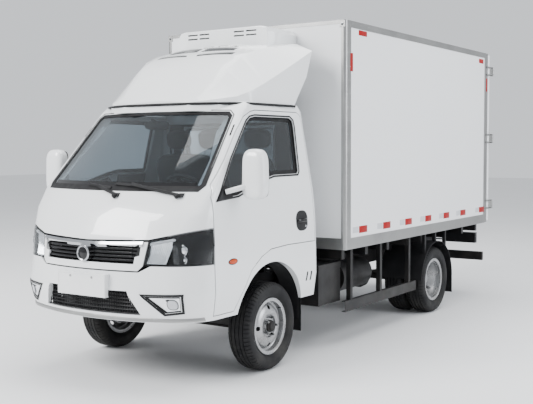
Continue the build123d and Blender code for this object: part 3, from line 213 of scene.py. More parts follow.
white_film.mottled((0.48, 0.49, 0.53), 60.0).grained(900, 0.3, 0.0003)
reflector = Shader("lamp_reflector", (0.9, 0.91, 0.93), 0.16, Metallic=0.85)
reflector.mottled((0.78, 0.8, 0.83), 30.0).uneven(0.06, 25.0)
# How far a leaf's bars and hinges stand out behind its skin
FITTINGS_DEPTH = 0.0485
door_panel = Shader("rear_door_panel", **PANEL_LOOK)
door_panel.mottled((0.80, 0.815, 0.83), 0.9)
door_panel.fitted((0.34, 0.34, 0.33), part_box("rear_door_left")[1].y - FITTINGS_DEPTH)

SLOT_SHADERS = {
    "cab_paint": paint, "box_panel": panel, "floor_deck": floor_deck, "bare_aluminium": aluminium,
    "stainless": aluminium, "glazing": glass, "clear_lens": lens, "dark_plastic": plastic,
    "lamp_shell": chrome, "tail_red": red_lens, "unit_white": unit_white, "plate_blank": plate_blank,
    "rubber_tread": tyre_rubber, "rim_silver": rim_paint, "frame_black": frame_paint,
    "cast_metal": cast, "exhaust_steel": hot_steel, "seat_cloth": seat_cloth,
}
NODE_SHADERS = {
    "dashboard": dash_plastic, "side_guards": frame_paint, "evaporator_unit": unit_white,
    "fuel_tank": frame_paint, "headlamps": gloss_black_and_painted_shade, "fog_lamps": gloss_black_and_painted_shade,
    "rear_door_left": door_panel, "rear_door_right": door_panel, "cab_floor": dash_plastic,
    "tail_lamps": plastic, "battery_box": frame_paint,
}
SHARP = radians(32)
WELDED = 0.00001


def smooth_group():
    """Geometry nodes that smooth every edge flatter than the sharp angle."""
    group = bpy.data.node_groups.new("smooth_by_angle", "GeometryNodeTree")
    group.interface.new_socket("Geometry", in_out="INPUT", socket_type="NodeSocketGeometry")
    group.interface.new_socket("Geometry", in_out="OUTPUT", socket_type="NodeSocketGeometry")
    start = group.nodes.new("NodeGroupInput")
    end = group.nodes.new("NodeGroupOutput")
    angle = group.nodes.new("GeometryNodeInputMeshEdgeAngle")
    compare = group.nodes.new("FunctionNodeCompare")
    compare.operation = "GREATER_THAN"
    compare.inputs["B"].default_value = SHARP
    faces = group.nodes.new("GeometryNodeSetShadeSmooth")
    edges = group.nodes.new("GeometryNodeSetShadeSmooth")
    edges.domain = "EDGE"
    edges.inputs["Shade Smooth"].default_value = False
    for source, target in (
        (angle.outputs["Unsigned Angle"], compare.inputs["A"]), (start.outputs[0], faces.inputs["Geometry"]),
        (faces.outputs["Geometry"], edges.inputs["Geometry"]), (edges.outputs["Geometry"], end.inputs[0]),
        (compare.outputs["Result"], edges.inputs["Selection"]),
    ):
        group.links.new(source, target)
    return group


SMOOTH = smooth_group()


def dress_frame():
    """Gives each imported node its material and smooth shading."""
    slot_of = {part["node"]: part["material_slot"] for part in frame["record"]["subparts"]}
    for name, node in nodes.items():
        shader = NODE_SHADERS.get(name) or SLOT_SHADERS[slot_of[name]]
        for place in node.material_slots:
            place.material = shader.material
        node.modifiers.new("weld", "WELD").merge_threshold = WELDED
        node.modifiers.new("smooth", "NODES").node_group = SMOOTH


# Modelling helpers

def placed(name, data):
    thing = bpy.data.objects.new(name, data)
    scene.collection.objects.link(thing)
    return thing


class Piece:
    """A mesh of several materials, gathered from simple forms and made when it is complete."""

    def __init__(self, name):
        self.name = name
        self.points = []
        self.faces = []
        self.shaders = []
        self.marks = []

    def add(self, points, faces, shader):
        if shader not in self.shaders:
            self.shaders.append(shader)
        start = len(self.points)
        self.points += [Vector(point) for point in points]
        self.faces += [[start + corner for corner in face] for face in faces]
        self.marks += [self.shaders.index(shader)] * len(faces)

    def grid(self, rows, shader, round_rows=False, round_columns=False):
        """Quads between rows of equally many points; a round one joins its end to its start."""
        width = len(rows[0])
        down = range(len(rows) if round_rows else len(rows) - 1)
        along = range(width if round_columns else width - 1)
        faces = []
        for row in down:
            over, under = row * width, (row + 1) % len(rows) * width
            for column in along:
                beside = (column + 1) % width
                faces.append([over + column, over + beside, under + beside, under + column])
        self.add([point for row in rows for point in row], faces, shader)

    def fan(self, ring, shader):
        """A cap over a ring of points."""
        self.add(ring, [list(range(len(ring)))], shader)

    def closed(self, rows, shader):
        """Round rows with a cap at each end."""
        self.grid(rows, shader, round_columns=True)
        self.fan(rows[0], shader)
        self.fan(rows[-1], shader)

    def turned(self, origin, axis, outline, shader, sides=32):
        """A form turned about an axis, from (along, radius) points."""
        axis = Vector(axis).normalized()
        across = axis.orthogonal().normalized()
        up = axis.cross(across)
        rows = []
        for side in range(sides):
            angle = tau * side / sides
            spoke = across * cos(angle) + up * sin(angle)
            rows.append([Vector(origin) + axis * along + spoke * radius for along, radius in outline])
        self.grid(rows, shader, round_rows=True)

    def tube(self, path, radius, shader, sides=10, closed=False):
        """A round bar along points, closed at its ends unless it is a ring."""
        path = [Vector(point) for point in path]
        count = len(path)
        rows = []
        across = None
        for index, point in enumerate(path):
            before = path[index - 1] if index or closed else point
            after = path[(index + 1) % count] if index + 1 < count or closed else point
            ahead = (after - before).normalized()
            across = (across - ahead * across.dot(ahead)).normalized() if across else ahead.orthogonal().normalized()
            up = ahead.cross(across)
            angles = [tau * side / sides for side in range(sides)]
            rows.append([point + (across * cos(angle) + up * sin(angle)) * radius for angle in angles])
        if closed:
            self.grid(rows, shader, round_rows=True, round_columns=True)
        else:
            self.closed(rows, shader)

    def block(self, low, high, shader, chamfer=0.0015):
        """A block with chamfered edges."""
        middle = (Vector(low) + Vector(high)) / 2
        half = (Vector(high) - Vector(low)) / 2
        form = bmesh.new()
        bmesh.ops.create_cube(form, size=2)
        for vertex in form.verts:
            vertex.co = vertex.co * half + middle
        bmesh.ops.bevel(form, geom=form.edges[:], offset=min(chamfer, min(half) * 0.8), segments=1, affect="EDGES")
        form.verts.index_update()
        faces = [[vertex.index for vertex in face.verts] for face in form.faces]
        self.add([vertex.co.copy() for vertex in form.verts], faces, shader)
        form.free()

    def made(self, body="root", slot="dark_plastic", replaces=()):
        mesh = bpy.data.meshes.new(self.name)
        mesh.from_pydata(self.points, [], self.faces)
        for shader in self.shaders:
            mesh.materials.append(shader.material)
        mesh.polygons.foreach_set("material_index", self.marks)
        form = bmesh.new()
        form.from_mesh(mesh)
        bmesh.ops.remove_doubles(form, verts=form.verts[:], dist=WELDED)
        bmesh.ops.recalc_face_normals(form, faces=form.faces[:])
        form.to_mesh(mesh)
        form.free()
        thing = placed(self.name, mesh)
        thing.modifiers.new("smooth", "NODES").node_group = SMOOTH
        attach(thing, body)
        if replaces:
            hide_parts(*replaces)
        return thing


def surface(*names):
    """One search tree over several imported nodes."""
    points, faces = [], []
    for name in names:
        mesh = nodes[name].data
        start = len(points)
        points += [vertex.co.copy() for vertex in mesh.vertices]
        faces += [[start + corner for corner in polygon.vertices] for polygon in mesh.polygons]
    return BVHTree.FromPolygons(points, faces)


FAR = 4.0


def landed(tree, start, way, lift):
    """Where a ray meets a surface, lifted off it against the ray."""
    place, normal, _, _ = tree.ray_cast(Vector(start), Vector(way))
    if place is None:
        place, normal, _, _ = tree.find_nearest(Vector(start) + Vector(way) * FAR)
    if normal.dot(Vector(way)) > 0:
        normal = -normal
    return place + normal * lift


def onto_surface(names, axis, start, sign):
    """A function that lands a point, given on the other two axes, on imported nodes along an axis."""
    tree = surface(*names)
    way = Vector((0, 0, 0))
    way[axis] = sign

    def onto(point, lift):
        place = list(point)
        place.insert(axis, start)
        return landed(tree, place, way, lift)

    return onto


def from_front(*names):
    return onto_surface(names, 1, -FAR, 1)


def from_back(*names):
    return onto_surface(names, 1, FAR + 2, -1)


def from_side(side, *names):
    return onto_surface(names, 0, side * FAR, -side)


def from_above(*names):
    return onto_surface(names, 2, FAR, -1)


def spread(low, high, parts):
    """Evenly spaced numbers, with both ends."""
    return [low + (high - low) * part / parts for part in range(parts + 1)]


def rectangle(low, high, side=1):
    """An outline between two corners, on one side."""
    return sided([low, (high[0], low[1]), high, (low[0], high[1])], side)


def outline_ring(outline, distance, step=0.04):
    """An outline moved outwards by a distance and divided into short stretches."""
    points = [Vector(point) for point in outline]
    count = len(points)
    area = sum(points[i - 1].cross(points[i]) for i in range(count))
    turn = -1 if area > 0 else 1
    moved = []
    for index, point in enumerate(points):
        ahead = (points[(index + 1) % count] - point).normalized()
        behind = (point - points[index - 1]).normalized()
        edge = Vector((-ahead.y, ahead.x)) * turn
        mate = Vector((-behind.y, behind.x)) * turn
        corner = edge + mate
        moved.append(point + corner * (distance / max(0.35, corner.dot(edge))))
    ring = []
    for index, point in enumerate(points):
        after = (index + 1) % count
        parts = max(1, round((points[after] - point).length / step))
        ring += [moved[index].lerp(moved[after], part / parts) for part in range(parts)]
    return ring


def add_band(piece, outline, wide, onto, shader, lift=0.003, sink=0.004, step=0.04):
    """A raised strip along an outline, between two distances outwards from it."""
    inner, outer = (outline_ring(outline, distance, step) for distance in wide)
    rows = []
    for near, far in zip(inner, outer):
        crest = onto((near + far) / 2, lift * 1.2)
        rows.append([onto(near, -sink), onto(near, lift), crest, onto(far, lift), onto(far, -sink)])
    piece.grid(rows, shader, round_rows=True)


def add_pad(piece, outline, onto, shader, lift=0.004, sink=0.003, edge=0.003, step=0.04):
    """A raised plate with a rounded rim over an outline."""
    rims = [(0, -sink), (0, lift * 0.6), (-edge, lift)]
    rows = [[onto(point, height) for point in outline_ring(outline, distance, step)] for distance, height in rims]
    piece.grid(list(zip(*rows)), shader, round_rows=True)
    piece.fan(rows[-1], shader)


def add_patch(piece, corners, onto, shader, lift=0.002, sink=0.002, parts=12):
    """A thin patch that follows a curved surface between four corners: two on one end, two on the other."""
    first, second, third, fourth = (Vector(corner) for corner in corners)
    rows = []
    for part, share in enumerate(spread(0, 1, parts)):
        low, high = first.lerp(second, share), fourth.lerp(third, share)
        rise = lift if 0 < part < parts else lift * 0.6
        inner = [onto(low.lerp(high, across), rise) for across in spread(0, 1, 4)]
        rows.append([onto(low, -sink)] + inner + [onto(high, -sink)])
    stops = (0, 0, 0.25, 0.5, 0.75, 1, 1)
    ends = [[onto(low.lerp(high, stop), -sink) for stop in stops] for low, high in ((first, fourth), (second, third))]
    piece.grid([ends[0]] + rows + [ends[1]], shader)


def oval(middle, half, points=28, power=2.0):
    """A superellipse outline."""
    ring = []
    for index in range(points):
        angle = tau * index / points
        reach = [abs(value) ** (2 / power) * (1 if value > 0 else -1) for value in (cos(angle), sin(angle))]
        ring.append(Vector((middle[0] + half[0] * reach[0], middle[1] + half[1] * reach[1])))
    return ring


def add_rail(piece, spots, section, onto, shader):
    """A strip along spots on a surface, whose section gives how far up and how far off it each line lies."""
    piece.grid([[onto((x, z + rise), lift) for rise, lift in section] for x, z in spots], shader)


def sided(points, side):
    return [(side * x, z) for x, z in points]


def mirrored(points):
    """An outline closed by its own mirror image across the middle."""
    return points + sided(reversed(points), -1)


def behind_axle(points):
    """Outline points given behind the front axle, in the model's frame."""
    return [(AXLE_Y + y, z) for y, z in points]


# Outlines on the cab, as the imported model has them: across or behind the axle, then height
WINDSCREEN = mirrored([(0.700, 1.352), (0.722, 1.385), (0.648, 1.868), (0.612, 1.898), (0.001, 1.905)])
REAR_WINDOW = mirrored([(0.430, 1.450), (0.442, 1.462), (0.442, 1.790), (0.430, 1.800)])
DOOR_WINDOW = behind_axle([
    (-0.636, 1.290), (-0.426, 1.556), (-0.175, 1.822), (-0.125, 1.853), (-0.060, 1.864), (0.410, 1.864),
    (0.444, 1.842), (0.450, 1.800), (0.420, 1.460), (0.400, 1.438), (0.075, 1.436), (-0.060, 1.410), (-0.404, 1.310),
])
PILLAR_SLOT = [(0.700, 1.722), (0.688, 1.800), (0.697, 1.802), (0.709, 1.724)]
GRILLE = mirrored([(0.428, 0.824), (0.462, 0.858), (0.486, 1.016), (0.001, 1.006)])
STRIP_HALF = 0.455
CLEAR_LENS = [(0.482, 0.874), (0.503, 1.012), (0.660, 1.044), (0.615, 0.874)]
FOG = [(0.485, 0.662), (0.708, 0.662), (0.700, 0.560), (0.605, 0.548)]
FOG_INSIDE = [(0.512, 0.652), (0.698, 0.652), (0.691, 0.568), (0.618, 0.558)]
MIRROR_FOOT = behind_axle([(-0.650, 1.282), (-0.548, 1.400), (-0.460, 1.322), (-0.480, 1.290)])


# Cab: seals, lamps, grille and trim

def add_window_seals():
    screen = from_front("cab_shell", "cab_glass")
    piece = Piece("windscreen_seal")
    add_band(piece, WINDSCREEN, (-0.026, 0.010), screen, rubber)
    foot = [(x, 1.362) for x in spread(-0.66, 0.66, 22)]
    add_rail(piece, foot, [(rise, 0.002) for rise in (0, 0.02, 0.04)], screen, gloss_black_and_painted_shade)
    piece.made()
    rear = Piece("rear_window_seal")
    onto_wall = onto_surface(["cab_shell", "cab_glass"], 1, -0.75, -1)
    add_band(rear, REAR_WINDOW, (-0.014, 0.010), onto_wall, rubber)
    rear.made()
    for side, name in SIDES:
        onto = from_side(side, f"door_{name}", f"door_glass_{name}", "cab_shell")
        piece = Piece(f"door_window_seal_{name}")
        add_band(piece, DOOR_WINDOW, (-0.030, -0.004), onto, rubber, sink=0.002)
        add_band(piece, DOOR_WINDOW, (-0.006, 0.016), onto, rubber)
        piece.made(f"door_{name}")


def add_wiper_caps():
    """Covers over the wipers' pivots."""
    points = [vertex.co.copy() for vertex in nodes["wipers"].data.vertices]
    middle = (min(p.x for p in points) + max(p.x for p in points)) / 2
    out = Vector((0, -0.72, 0.69))
    outline = [(-0.004, 0.020), (0.010, 0.019), (0.016, 0.014), (0.018, 0)]
    caps = Piece("wiper_caps")
    for group in ([p for p in points if p.x < middle], [p for p in points if p.x >= middle]):
        foot = min(p.z for p in group)
        low = [p for p in group if p.z < foot + 0.02]
        pivot = sum(low, Vector()) / len(low)
        caps.turned(pivot + out * 0.004, out, outline, plastic, 24)
    caps.made()


def add_inner_mirror():
    """The mirror inside, on a stem from the windscreen's top."""
    foot = landed(surface("cab_glass"), (0, AXLE_Y, 1.845), (0, -1, 0), 0.001)
    middle = foot + Vector((0, 0.060, -0.040))
    mirror = Piece("inner_mirror")
    rows = []
    for y, share in ((-0.014, 0.55), (-0.012, 0.85), (-0.004, 1.0), (0.006, 1.0), (0.008, 0.97)):
        ring = oval((0, 0), (0.115 * share ** 0.2, 0.034 * share), 40, 3.2)
        rows.append([middle + Vector((p.x, y, p.y)) for p in ring])
    mirror.grid(rows, plastic, round_columns=True)
    mirror.fan(rows[0], plastic)
    mirror.fan(rows[-1], mirror_glass)
    mirror.tube([foot, foot + Vector((0, 0.030, -0.006)), middle + Vector((0, -0.008, 0.010))], 0.008, plastic, 12)
    mirror.made()


def add_pillar_slots():
    """The short dark slots high on the windscreen pillars."""
    onto = from_front("cab_shell")
    for side, name in SIDES:
        slot = Piece(f"pillar_slot_{name}")
        add_patch(slot, sided(PILLAR_SLOT, side), onto, gloss_black_and_painted_shade, sink=0.001)
        slot.made()


def add_grille_trim():
    onto = from_front("grille", "front_bumper", "cab_shell")
    piece = Piece("grille_surround")
    rows = []
    for far in outline_ring(GRILLE, 0):
        height = 0.868 if far.y < 0.87 else min(0.986, far.y - 0.024)
        near = Vector((max(-0.400, min(0.400, far.x * 0.86)), height))
        section = ((far, -0.004), (far, 0.006), (far.lerp(near, 0.5), 0.011), (near, 0.010), (near, -0.006))
        rows.append([onto(point, lift) for point, lift in section])
    piece.grid(rows, paint, round_rows=True)
    piece.made(slot="cab_paint")

    strip = Piece("grille_chrome")
    crest = [(x, 0.970 + 0.012 * (x / STRIP_HALF) ** 2) for x in spread(-STRIP_HALF, STRIP_HALF, 40)]
    add_rail(strip, crest, ((0, 0), (0.001, 0.013), (0.019, 0.021), (0.037, 0.013), (0.038, 0)), onto, chrome)
    slat = ((0.001, 0), (0.002, 0.003), (0.007, 0.004), (0.012, 0.003), (0.013, 0))
    for z in (0.884, 0.909, 0.934, 0.959):
        add_rail(strip, [(x, z) for x in spread(-0.375, 0.375, 32)], slat, onto, gloss_black_and_painted_shade)
    roundel = (0, AXLE_Y - 1.092, 0.926)
    ring = [(0, 0.056), (0.006, 0.057), (0.011, 0.054), (0.012, 0.049), (0.010, 0.044), (0.003, 0.042)]
    strip.turned(roundel, (0, -1, 0), ring, chrome, 48)
    strip.turned(roundel, (0, -1, 0), [(0.003, 0.043), (0.004, 0.030), (0.007, 0.014), (0.008, 0)], gloss_black_and_painted_shade, 48)
    strip.made(slot="lamp_shell")


def add_headlamps():
    onto_lens = from_front("headlamp_lenses")
    foot, crown, crown_end, foot_end = (Vector(corner) for corner in CLEAR_LENS)
    for side, name in SIDES:
        def inside(point, depth, side=side):
            return onto_lens((side * point[0], point[1]), -depth)

        piece = Piece(f"headlamp_inside_{name}")
        rows = []
        for step, share in enumerate(spread(0, 1, 24)):
            low, high = foot.lerp(foot_end, share), crown.lerp(crown_end, share)
            flute = 0.016 + 0.004 * (step % 2)
            rows.append([inside(low.lerp(high, rise), flute + 0.010 * sin(pi * rise)) for rise in spread(0, 1, 6)])
        piece.grid(rows, reflector)
        crest = [(0.50 + 0.295 * share, 0.992 + 0.062 * share) for share in spread(0, 1, 30)]
        add_rail(piece, crest, ((0, 0.012), (0.006, 0.008), (0.016, 0.008), (0.022, 0.012)), inside, white_film)
        out = (side * 0.25, -1, 0)
        for x, z, radius in ((0.700, 0.962, 0.034), (0.712, 0.900, 0.022)):
            seat = inside((x, z), 0.018)
            bezel = [(-0.004, radius + 0.010), (0.006, radius + 0.008), (0.008, radius + 0.003), (0.001, radius)]
            piece.turned(seat, out, bezel, chrome, 36)
            bulb = [(0.001, radius), (0.006, radius * 0.85), (0.010, radius * 0.5), (0.011, 0)]
            piece.turned(seat, out, bulb, reflector, 36)
        piece.made(slot="lamp_shell")


INTAKE_FOOT, INTAKE_TOP = 0.528, 0.690
INTAKE_TOP_HALF = 0.362
INTAKE_SLOPE = 0.078 / 0.162


def bumper_face(x):
    """Where the bumper's face stands, which bows back to both sides."""
    return AXLE_Y - 1.060 + 0.30 * x * x


def add_bumper_trim():
    mesh = Piece("intake_mesh")
    bar = ((0.010, -0.003), (0, -0.003), (-0.002, 0), (0, 0.003), (0.010, 0.003))
    for row in range(7):
        z = 0.535 + 0.024 * row
        reach = 0.432 - INTAKE_SLOPE * (z - INTAKE_FOOT)
        across = spread(-reach, reach, 24)
        mesh.grid([[(x, bumper_face(x) + deep, z + rise) for deep, rise in bar] for x in across], plastic)
    for column in range(-20, 21):
        x = 0.0208 * column
        top = INTAKE_TOP - max(0, abs(x) - INTAKE_TOP_HALF) / INTAKE_SLOPE
        y = bumper_face(x) + 0.003
        mesh.block((x - 0.0018, y, 0.530), (x + 0.0018, y + 0.006, top), plastic, 0.0005)
    # A gloss-black sheet behind the mesh: painted shade, standing for the shaded dark inside the intake.
    across = spread(-0.45, 0.45, 18)
    mesh.grid([[(x, bumper_face(x) + 0.045, z) for z in (0.522, 0.60, 0.70)] for x in across], gloss_black_and_painted_shade)
    mesh.made()

    onto = from_front("front_bumper", "cab_shell")
    lip = Piece("bumper_lip")
    section = ((0.486, -0.004), (0.487, 0.007), (0.498, 0.010), (0.509, 0.006), (0.512, -0.002))
    add_rail(lip, [(x, 0) for x in spread(-0.785, 0.785, 48)], section, onto, aluminium)
    lip.made(slot="bare_aluminium")

    recess = from_front("fog_lamps", "front_bumper", "cab_shell")
    lamp_face = from_front("fog_lamps")
    for side, name in SIDES:
        fog = Piece(f"fog_bezel_{name}")
        add_band(fog, sided(FOG, side), (-0.004, 0.016), recess, plastic, 0.005, 0.003, 0.02)
        add_pad(fog, sided(FOG_INSIDE, side), lamp_face, reflector, 0.003, 0.001, 0.004, 0.02)
        for half, shader, lift in (((0.033, 0.036), dark_chrome, 0.006), ((0.027, 0.030), white_film, 0.010)):
            add_pad(fog, oval((side * 0.655, 0.608), half, 32, 2.6), lamp_face, shader, lift)
        fog.made(slot="lamp_shell")

    plate = Piece("plate_frame")
    low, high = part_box("number_plate")
    ring = rectangle((low.x + 0.004, low.z + 0.004), (high.x - 0.004, high.z - 0.004))
    add_band(plate, ring, (-0.006, 0.0), from_front("number_plate"), plate_blank, 0.0018, 0.001)
    bolt = [(-0.001, 0.009), (0.003, 0.008), (0.004, 0.004), (0.004, 0)]
    for x in (-0.10, 0.10):
        plate.turned((x, low.y, high.z - 0.026), (0, -1, 0), bolt, aluminium, 18)
    plate.made(slot="plate_blank")


def add_door_trim():
    for side, name in SIDES:
        onto = from_side(side, f"door_{name}", "cab_shell")
        handle = Piece(f"door_handle_{name}")
        y, z = AXLE_Y + 0.397, 1.079
        add_pad(handle, oval((y, z), (0.082, 0.078), 40, 2.6), onto, plastic)
        seat = onto((y, z), 0).x
        section = ((-0.016, -0.005), (-0.012, 0.003), (0.0, 0.006), (0.012, 0.003), (0.016, -0.005))
        rows = []
        for share in spread(-1, 1, 16):
            bow = 0.003 + 0.016 * (1 - share**4)
            rows.append([(seat + side * (bow + out), y + 0.070 * share, z + rise) for rise, out in section])
        handle.grid(rows, gloss_black_and_painted_shade)
        lock = onto((y + 0.048, z - 0.045), 0.004)
        handle.turned(lock, (side, 0, 0), [(0, 0.010), (0.003, 0.009), (0.003, 0)], chrome, 20)
        handle.made(f"door_{name}")

        marker = Piece(f"side_marker_{name}")
        spot = (AXLE_Y - 0.500, 0.858)
        add_pad(marker, oval(spot, (0.054, 0.022), 32), onto, gloss_black_and_painted_shade, 0.003)
        add_pad(marker, oval(spot, (0.046, 0.016), 32), onto, amber_lens, 0.007, edge=0.006)
        marker.made(f"door_{name}", "clear_lens")

        # Fender vents as flat black patches: painted shade for their dark openings.
        vents = Piece(f"fender_vents_{name}")
        for y in (0.459, 0.517):
            slot = [(y - 0.013, 0.607), (y - 0.003, 0.678), (y + 0.015, 0.678), (y + 0.005, 0.607)]
            add_patch(vents, behind_axle(slot), onto, gloss_black_and_painted_shade)
        vents.made()


MIRROR_HALF = Vector((0.0905, 0.060, 0.174))
MIRROR_BACK = MIRROR_HALF.y * 0.70
MIRROR_ARM = ((0.806, -0.553, 1.337), (0.850, -0.520, 1.352), (0.902, -0.462, 1.372))


def add_mirrors():
    for side, name in SIDES:
        middle = Vector((side * 0.957, AXLE_Y - 0.414, 1.455))
        centre = (middle.x, middle.z)
        piece = Piece(f"mirror_housing_{name}")
        rows = []
        for angle in spread(0, pi, 24):
            height = -cos(angle)
            reach = max(0.02, (1 - abs(height) ** 5) ** (1 / 3))
            taper = 1 - 0.05 * height
            ring = oval((0, 0), (MIRROR_HALF.x * reach, MIRROR_HALF.y * reach), 40, 3.4)
            rise = MIRROR_HALF.z * height
            rows.append([middle + Vector((p.x * taper, min(p.y, MIRROR_BACK), rise)) for p in ring])
        piece.closed(rows, paint)

        def behind(point, lift, back=middle.y + MIRROR_BACK):
            return Vector((point[0], back + lift, point[1]))

        rim = oval(centre, (MIRROR_HALF.x * 0.90, MIRROR_HALF.z * 0.93), 44, 5.0)
        add_band(piece, rim, (-0.006, 0.0), behind, plastic, 0.004, 0.002, 0.03)
        face = oval(centre, (MIRROR_HALF.x * 0.82, MIRROR_HALF.z * 0.89), 44, 5.0)
        add_pad(piece, face, behind, mirror_glass, 0.0025)
        onto = from_side(side, f"door_{name}", f"door_glass_{name}")
        add_pad(piece, MIRROR_FOOT, onto, plastic, 0.013, 0.0, 0.004)
        bends = [Vector((side * x, AXLE_Y + y, z)) for x, y, z in MIRROR_ARM]
        piece.tube(bends + [middle + Vector((-side * 0.055, 0, -0.070))], 0.018, paint, 16)
        collar = middle + Vector((-side * 0.074, -0.002, -0.075))
        sleeve = [(-0.02, 0.030), (0.004, 0.029), (0.014, 0.024), (0.022, 0.018)]
        piece.turned(collar, (-side, -0.5, -0.2), sleeve, paint, 24)
        piece.made(f"door_{name}", "cab_paint", [f"mirror_{name}"])


SEAL_Z = 1.957
# Each pair of slots: where it starts, its inner and outer ends, and how deep it is at each
FAIRING_SLOTS = (
    (-1.260, 0.024, 0.250, 0.095, 0.020), (-1.395, 0.022, 0.320, 0.075, 0.050), (-1.490, 0.050, 0.370, 0.012, 0.042),
)


def add_fairing_trim():
    """The seal round the fairing's skirt, and its air slots, whose dark insides are black patches of painted shade.
    """
    skin = surface("roof_fairing", "cab_shell", "door_left", "door_right")
    middle = Vector((0, AXLE_Y + 0.35, SEAL_Z))
    path = []
    for angle in spread(radians(-14), radians(194), 56):
        out = Vector((cos(angle), -sin(angle), 0))
        place, *_ = skin.ray_cast(middle + out * 1.4, -out)
        path.append(place + out * 0.005)
    for _ in range(2):
        between = [(path[i - 1] + path[i] * 2 + path[i + 1]) / 4 for i in range(1, len(path) - 1)]
        path = path[:1] + between + path[-1:]
    seal = Piece("fairing_seal")
    seal.tube(path, 0.010, rubber, 8)
    seal.made()

    onto = from_above("roof_fairing")
    slots = Piece("fairing_slots")
    for y, inner, outer, inner_deep, outer_deep in FAIRING_SLOTS:
        start, end = y + inner_deep, y + 0.03 + outer_deep
        slot = [(inner, y), (outer, y + 0.03), (outer, end), (inner, start)]
        behind = [(inner, start), (outer, end), (outer, end + 0.016), (inner, start + 0.016)]
        for side in (1, -1):
            # Each slot is a black patch of painted shade for its dark inside, with a raised lip in the cab's paint
            # behind it.
            add_patch(slots, sided(slot, side), onto, gloss_black_and_painted_shade)
            add_patch(slots, sided(behind, side), onto, paint, 0.009)
    slots.made(slot="cab_paint")


COVER_FOOT = 2.420
COVER = mirrored([(-0.455, COVER_FOOT), (-0.455, 2.560), (-0.430, 2.596), (-0.380, 2.606)])


def add_unit_cover():
    """The cover of the unit behind the fairing's crown, with vent slits drawn as black pads of painted shade."""
    cover = Piece("unit_cover")
    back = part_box("box_front_wall")[0].y
    front = back - 0.430
    rows = [[(x * 0.985, front, COVER_FOOT + (z - COVER_FOOT) * 0.95) for x, z in COVER]]
    rows += [[(x, y, z) for x, z in COVER] for y in (front + 0.012, front + 0.20, back)]
    cover.grid(rows, paint)
    cover.fan(rows[0], paint)

    def onto(point, lift):
        return Vector((point[0], front - lift, point[1]))

    # Black pads of painted shade for the dark insides of the vent slits.
    for side in (1, -1):
        for x in (0.125, 0.245):
            for z in (2.535, 2.568):
                slot = rectangle((x, z), (x + 0.100, z + 0.012), side)
                add_pad(cover, slot, onto, gloss_black_and_painted_shade, 0.001, 0.001, 0.001)
    cover.made(slot="cab_paint")


def add_arches():
    """Liners inside the front arches and flaps behind them."""
    middle = Vector((0, AXLE_Y - 0.010, 0.375))
    section = ((0.655, 0.428), (0.655, 0.422), (0.780, 0.422), (0.795, 0.428))
    rear = AXLE_Y + 0.432
    for side, name in SIDES:
        piece = Piece(f"arch_liner_{name}")
        rows = []
        for angle in spread(radians(-8), radians(164), 36):
            spoke = Vector((0, cos(angle), sin(angle)))
            rows.append([middle + Vector((side * x, 0, 0)) + spoke * radius for x, radius in section])
        piece.grid(rows, plastic)
        piece.made()
        flap = Piece(f"front_flap_{name}")
        low, high = sorted((side * 0.645, side * 0.800))
        flap.block((low, rear, 0.215), (high, rear + 0.005, 0.520), rubber)
        flap.block((low, rear + 0.005, 0.470), (high, rear + 0.010, 0.500), frame_paint)
        flap.made()


# Wheels

TYRE_HALF = [
    (0.067, 0.190), (0.068, 0.2075), (0.0745, 0.217), (0.0775, 0.2225), (0.0835, 0.2265), (0.0905, 0.240),
    (0.0955, 0.255), (0.0970, 0.268), (0.0960, 0.283), (0.0925, 0.296), (0.0880, 0.305), (0.0850, 0.308),
    (0.0800, 0.3125), (0.0700, 0.3195), (0.0560, 0.3235),
]
TREAD = 0.3248
SHOULDER = 0.304
GROOVES = (0.050, 0.0175)
GROOVE_HALF = 0.0035
GROOVE_DEPTH = 0.009
BLOCKS = 64
BLOCK_CUT = 0.007


def tyre_profile(cut):
    """The profile across the tyre; its shoulders dip where a cross groove passes."""
    half = [(x, radius - (cut if radius > SHOULDER else 0)) for x, radius in TYRE_HALF]
    for middle in GROOVES:
        half += [
            (middle + GROOVE_HALF, TREAD), (middle + GROOVE_HALF * 0.8, TREAD - GROOVE_DEPTH),
            (middle - GROOVE_HALF * 0.8, TREAD - GROOVE_DEPTH), (middle - GROOVE_HALF, TREAD - cut * 0.4),
        ]
    return mirrored(half)


def add_tyre(piece, x, y):
    rows = []
    centre = Vector((x, y, HUB_Z))
    for block in range(BLOCKS):
        for offset, cut in ((0.0, BLOCK_CUT), (0.12, BLOCK_CUT), (0.16, 0), (0.98, 0)):
            angle = tau * (block + offset) / BLOCKS
            spoke = Vector((0, cos(angle), sin(angle)))
            rows.append([centre + Vector((across, 0, 0)) + spoke * radius for across, radius in tyre_profile(cut)])
    piece.grid(rows, tyre_rubber, round_rows=True, round_columns=True)


def add_nuts(piece, x, y, circle, count, radius):
    """A circle of wheel nuts, each with a washer face and its stud's end."""
    out = (x, 0, 0)  # the sign of x is the truck's side
    for index in range(count):
        angle = tau * index / count
        place = (x, y + circle * cos(angle), HUB_Z + circle * sin(angle))
        piece.turned(place, out, [(0, radius * 1.3), (0.004, radius * 1.25), (0.004, radius)], dark_chrome, 18)
        flats = [(0.004, radius), (0.018, radius), (0.021, radius * 0.8), (0.021, radius * 0.55)]
        piece.turned(place, out, flats, dark_chrome, 6)
        piece.turned(place, out, [(0.019, radius * 0.55), (0.027, radius * 0.5), (0.028, 0)], aluminium, 12)


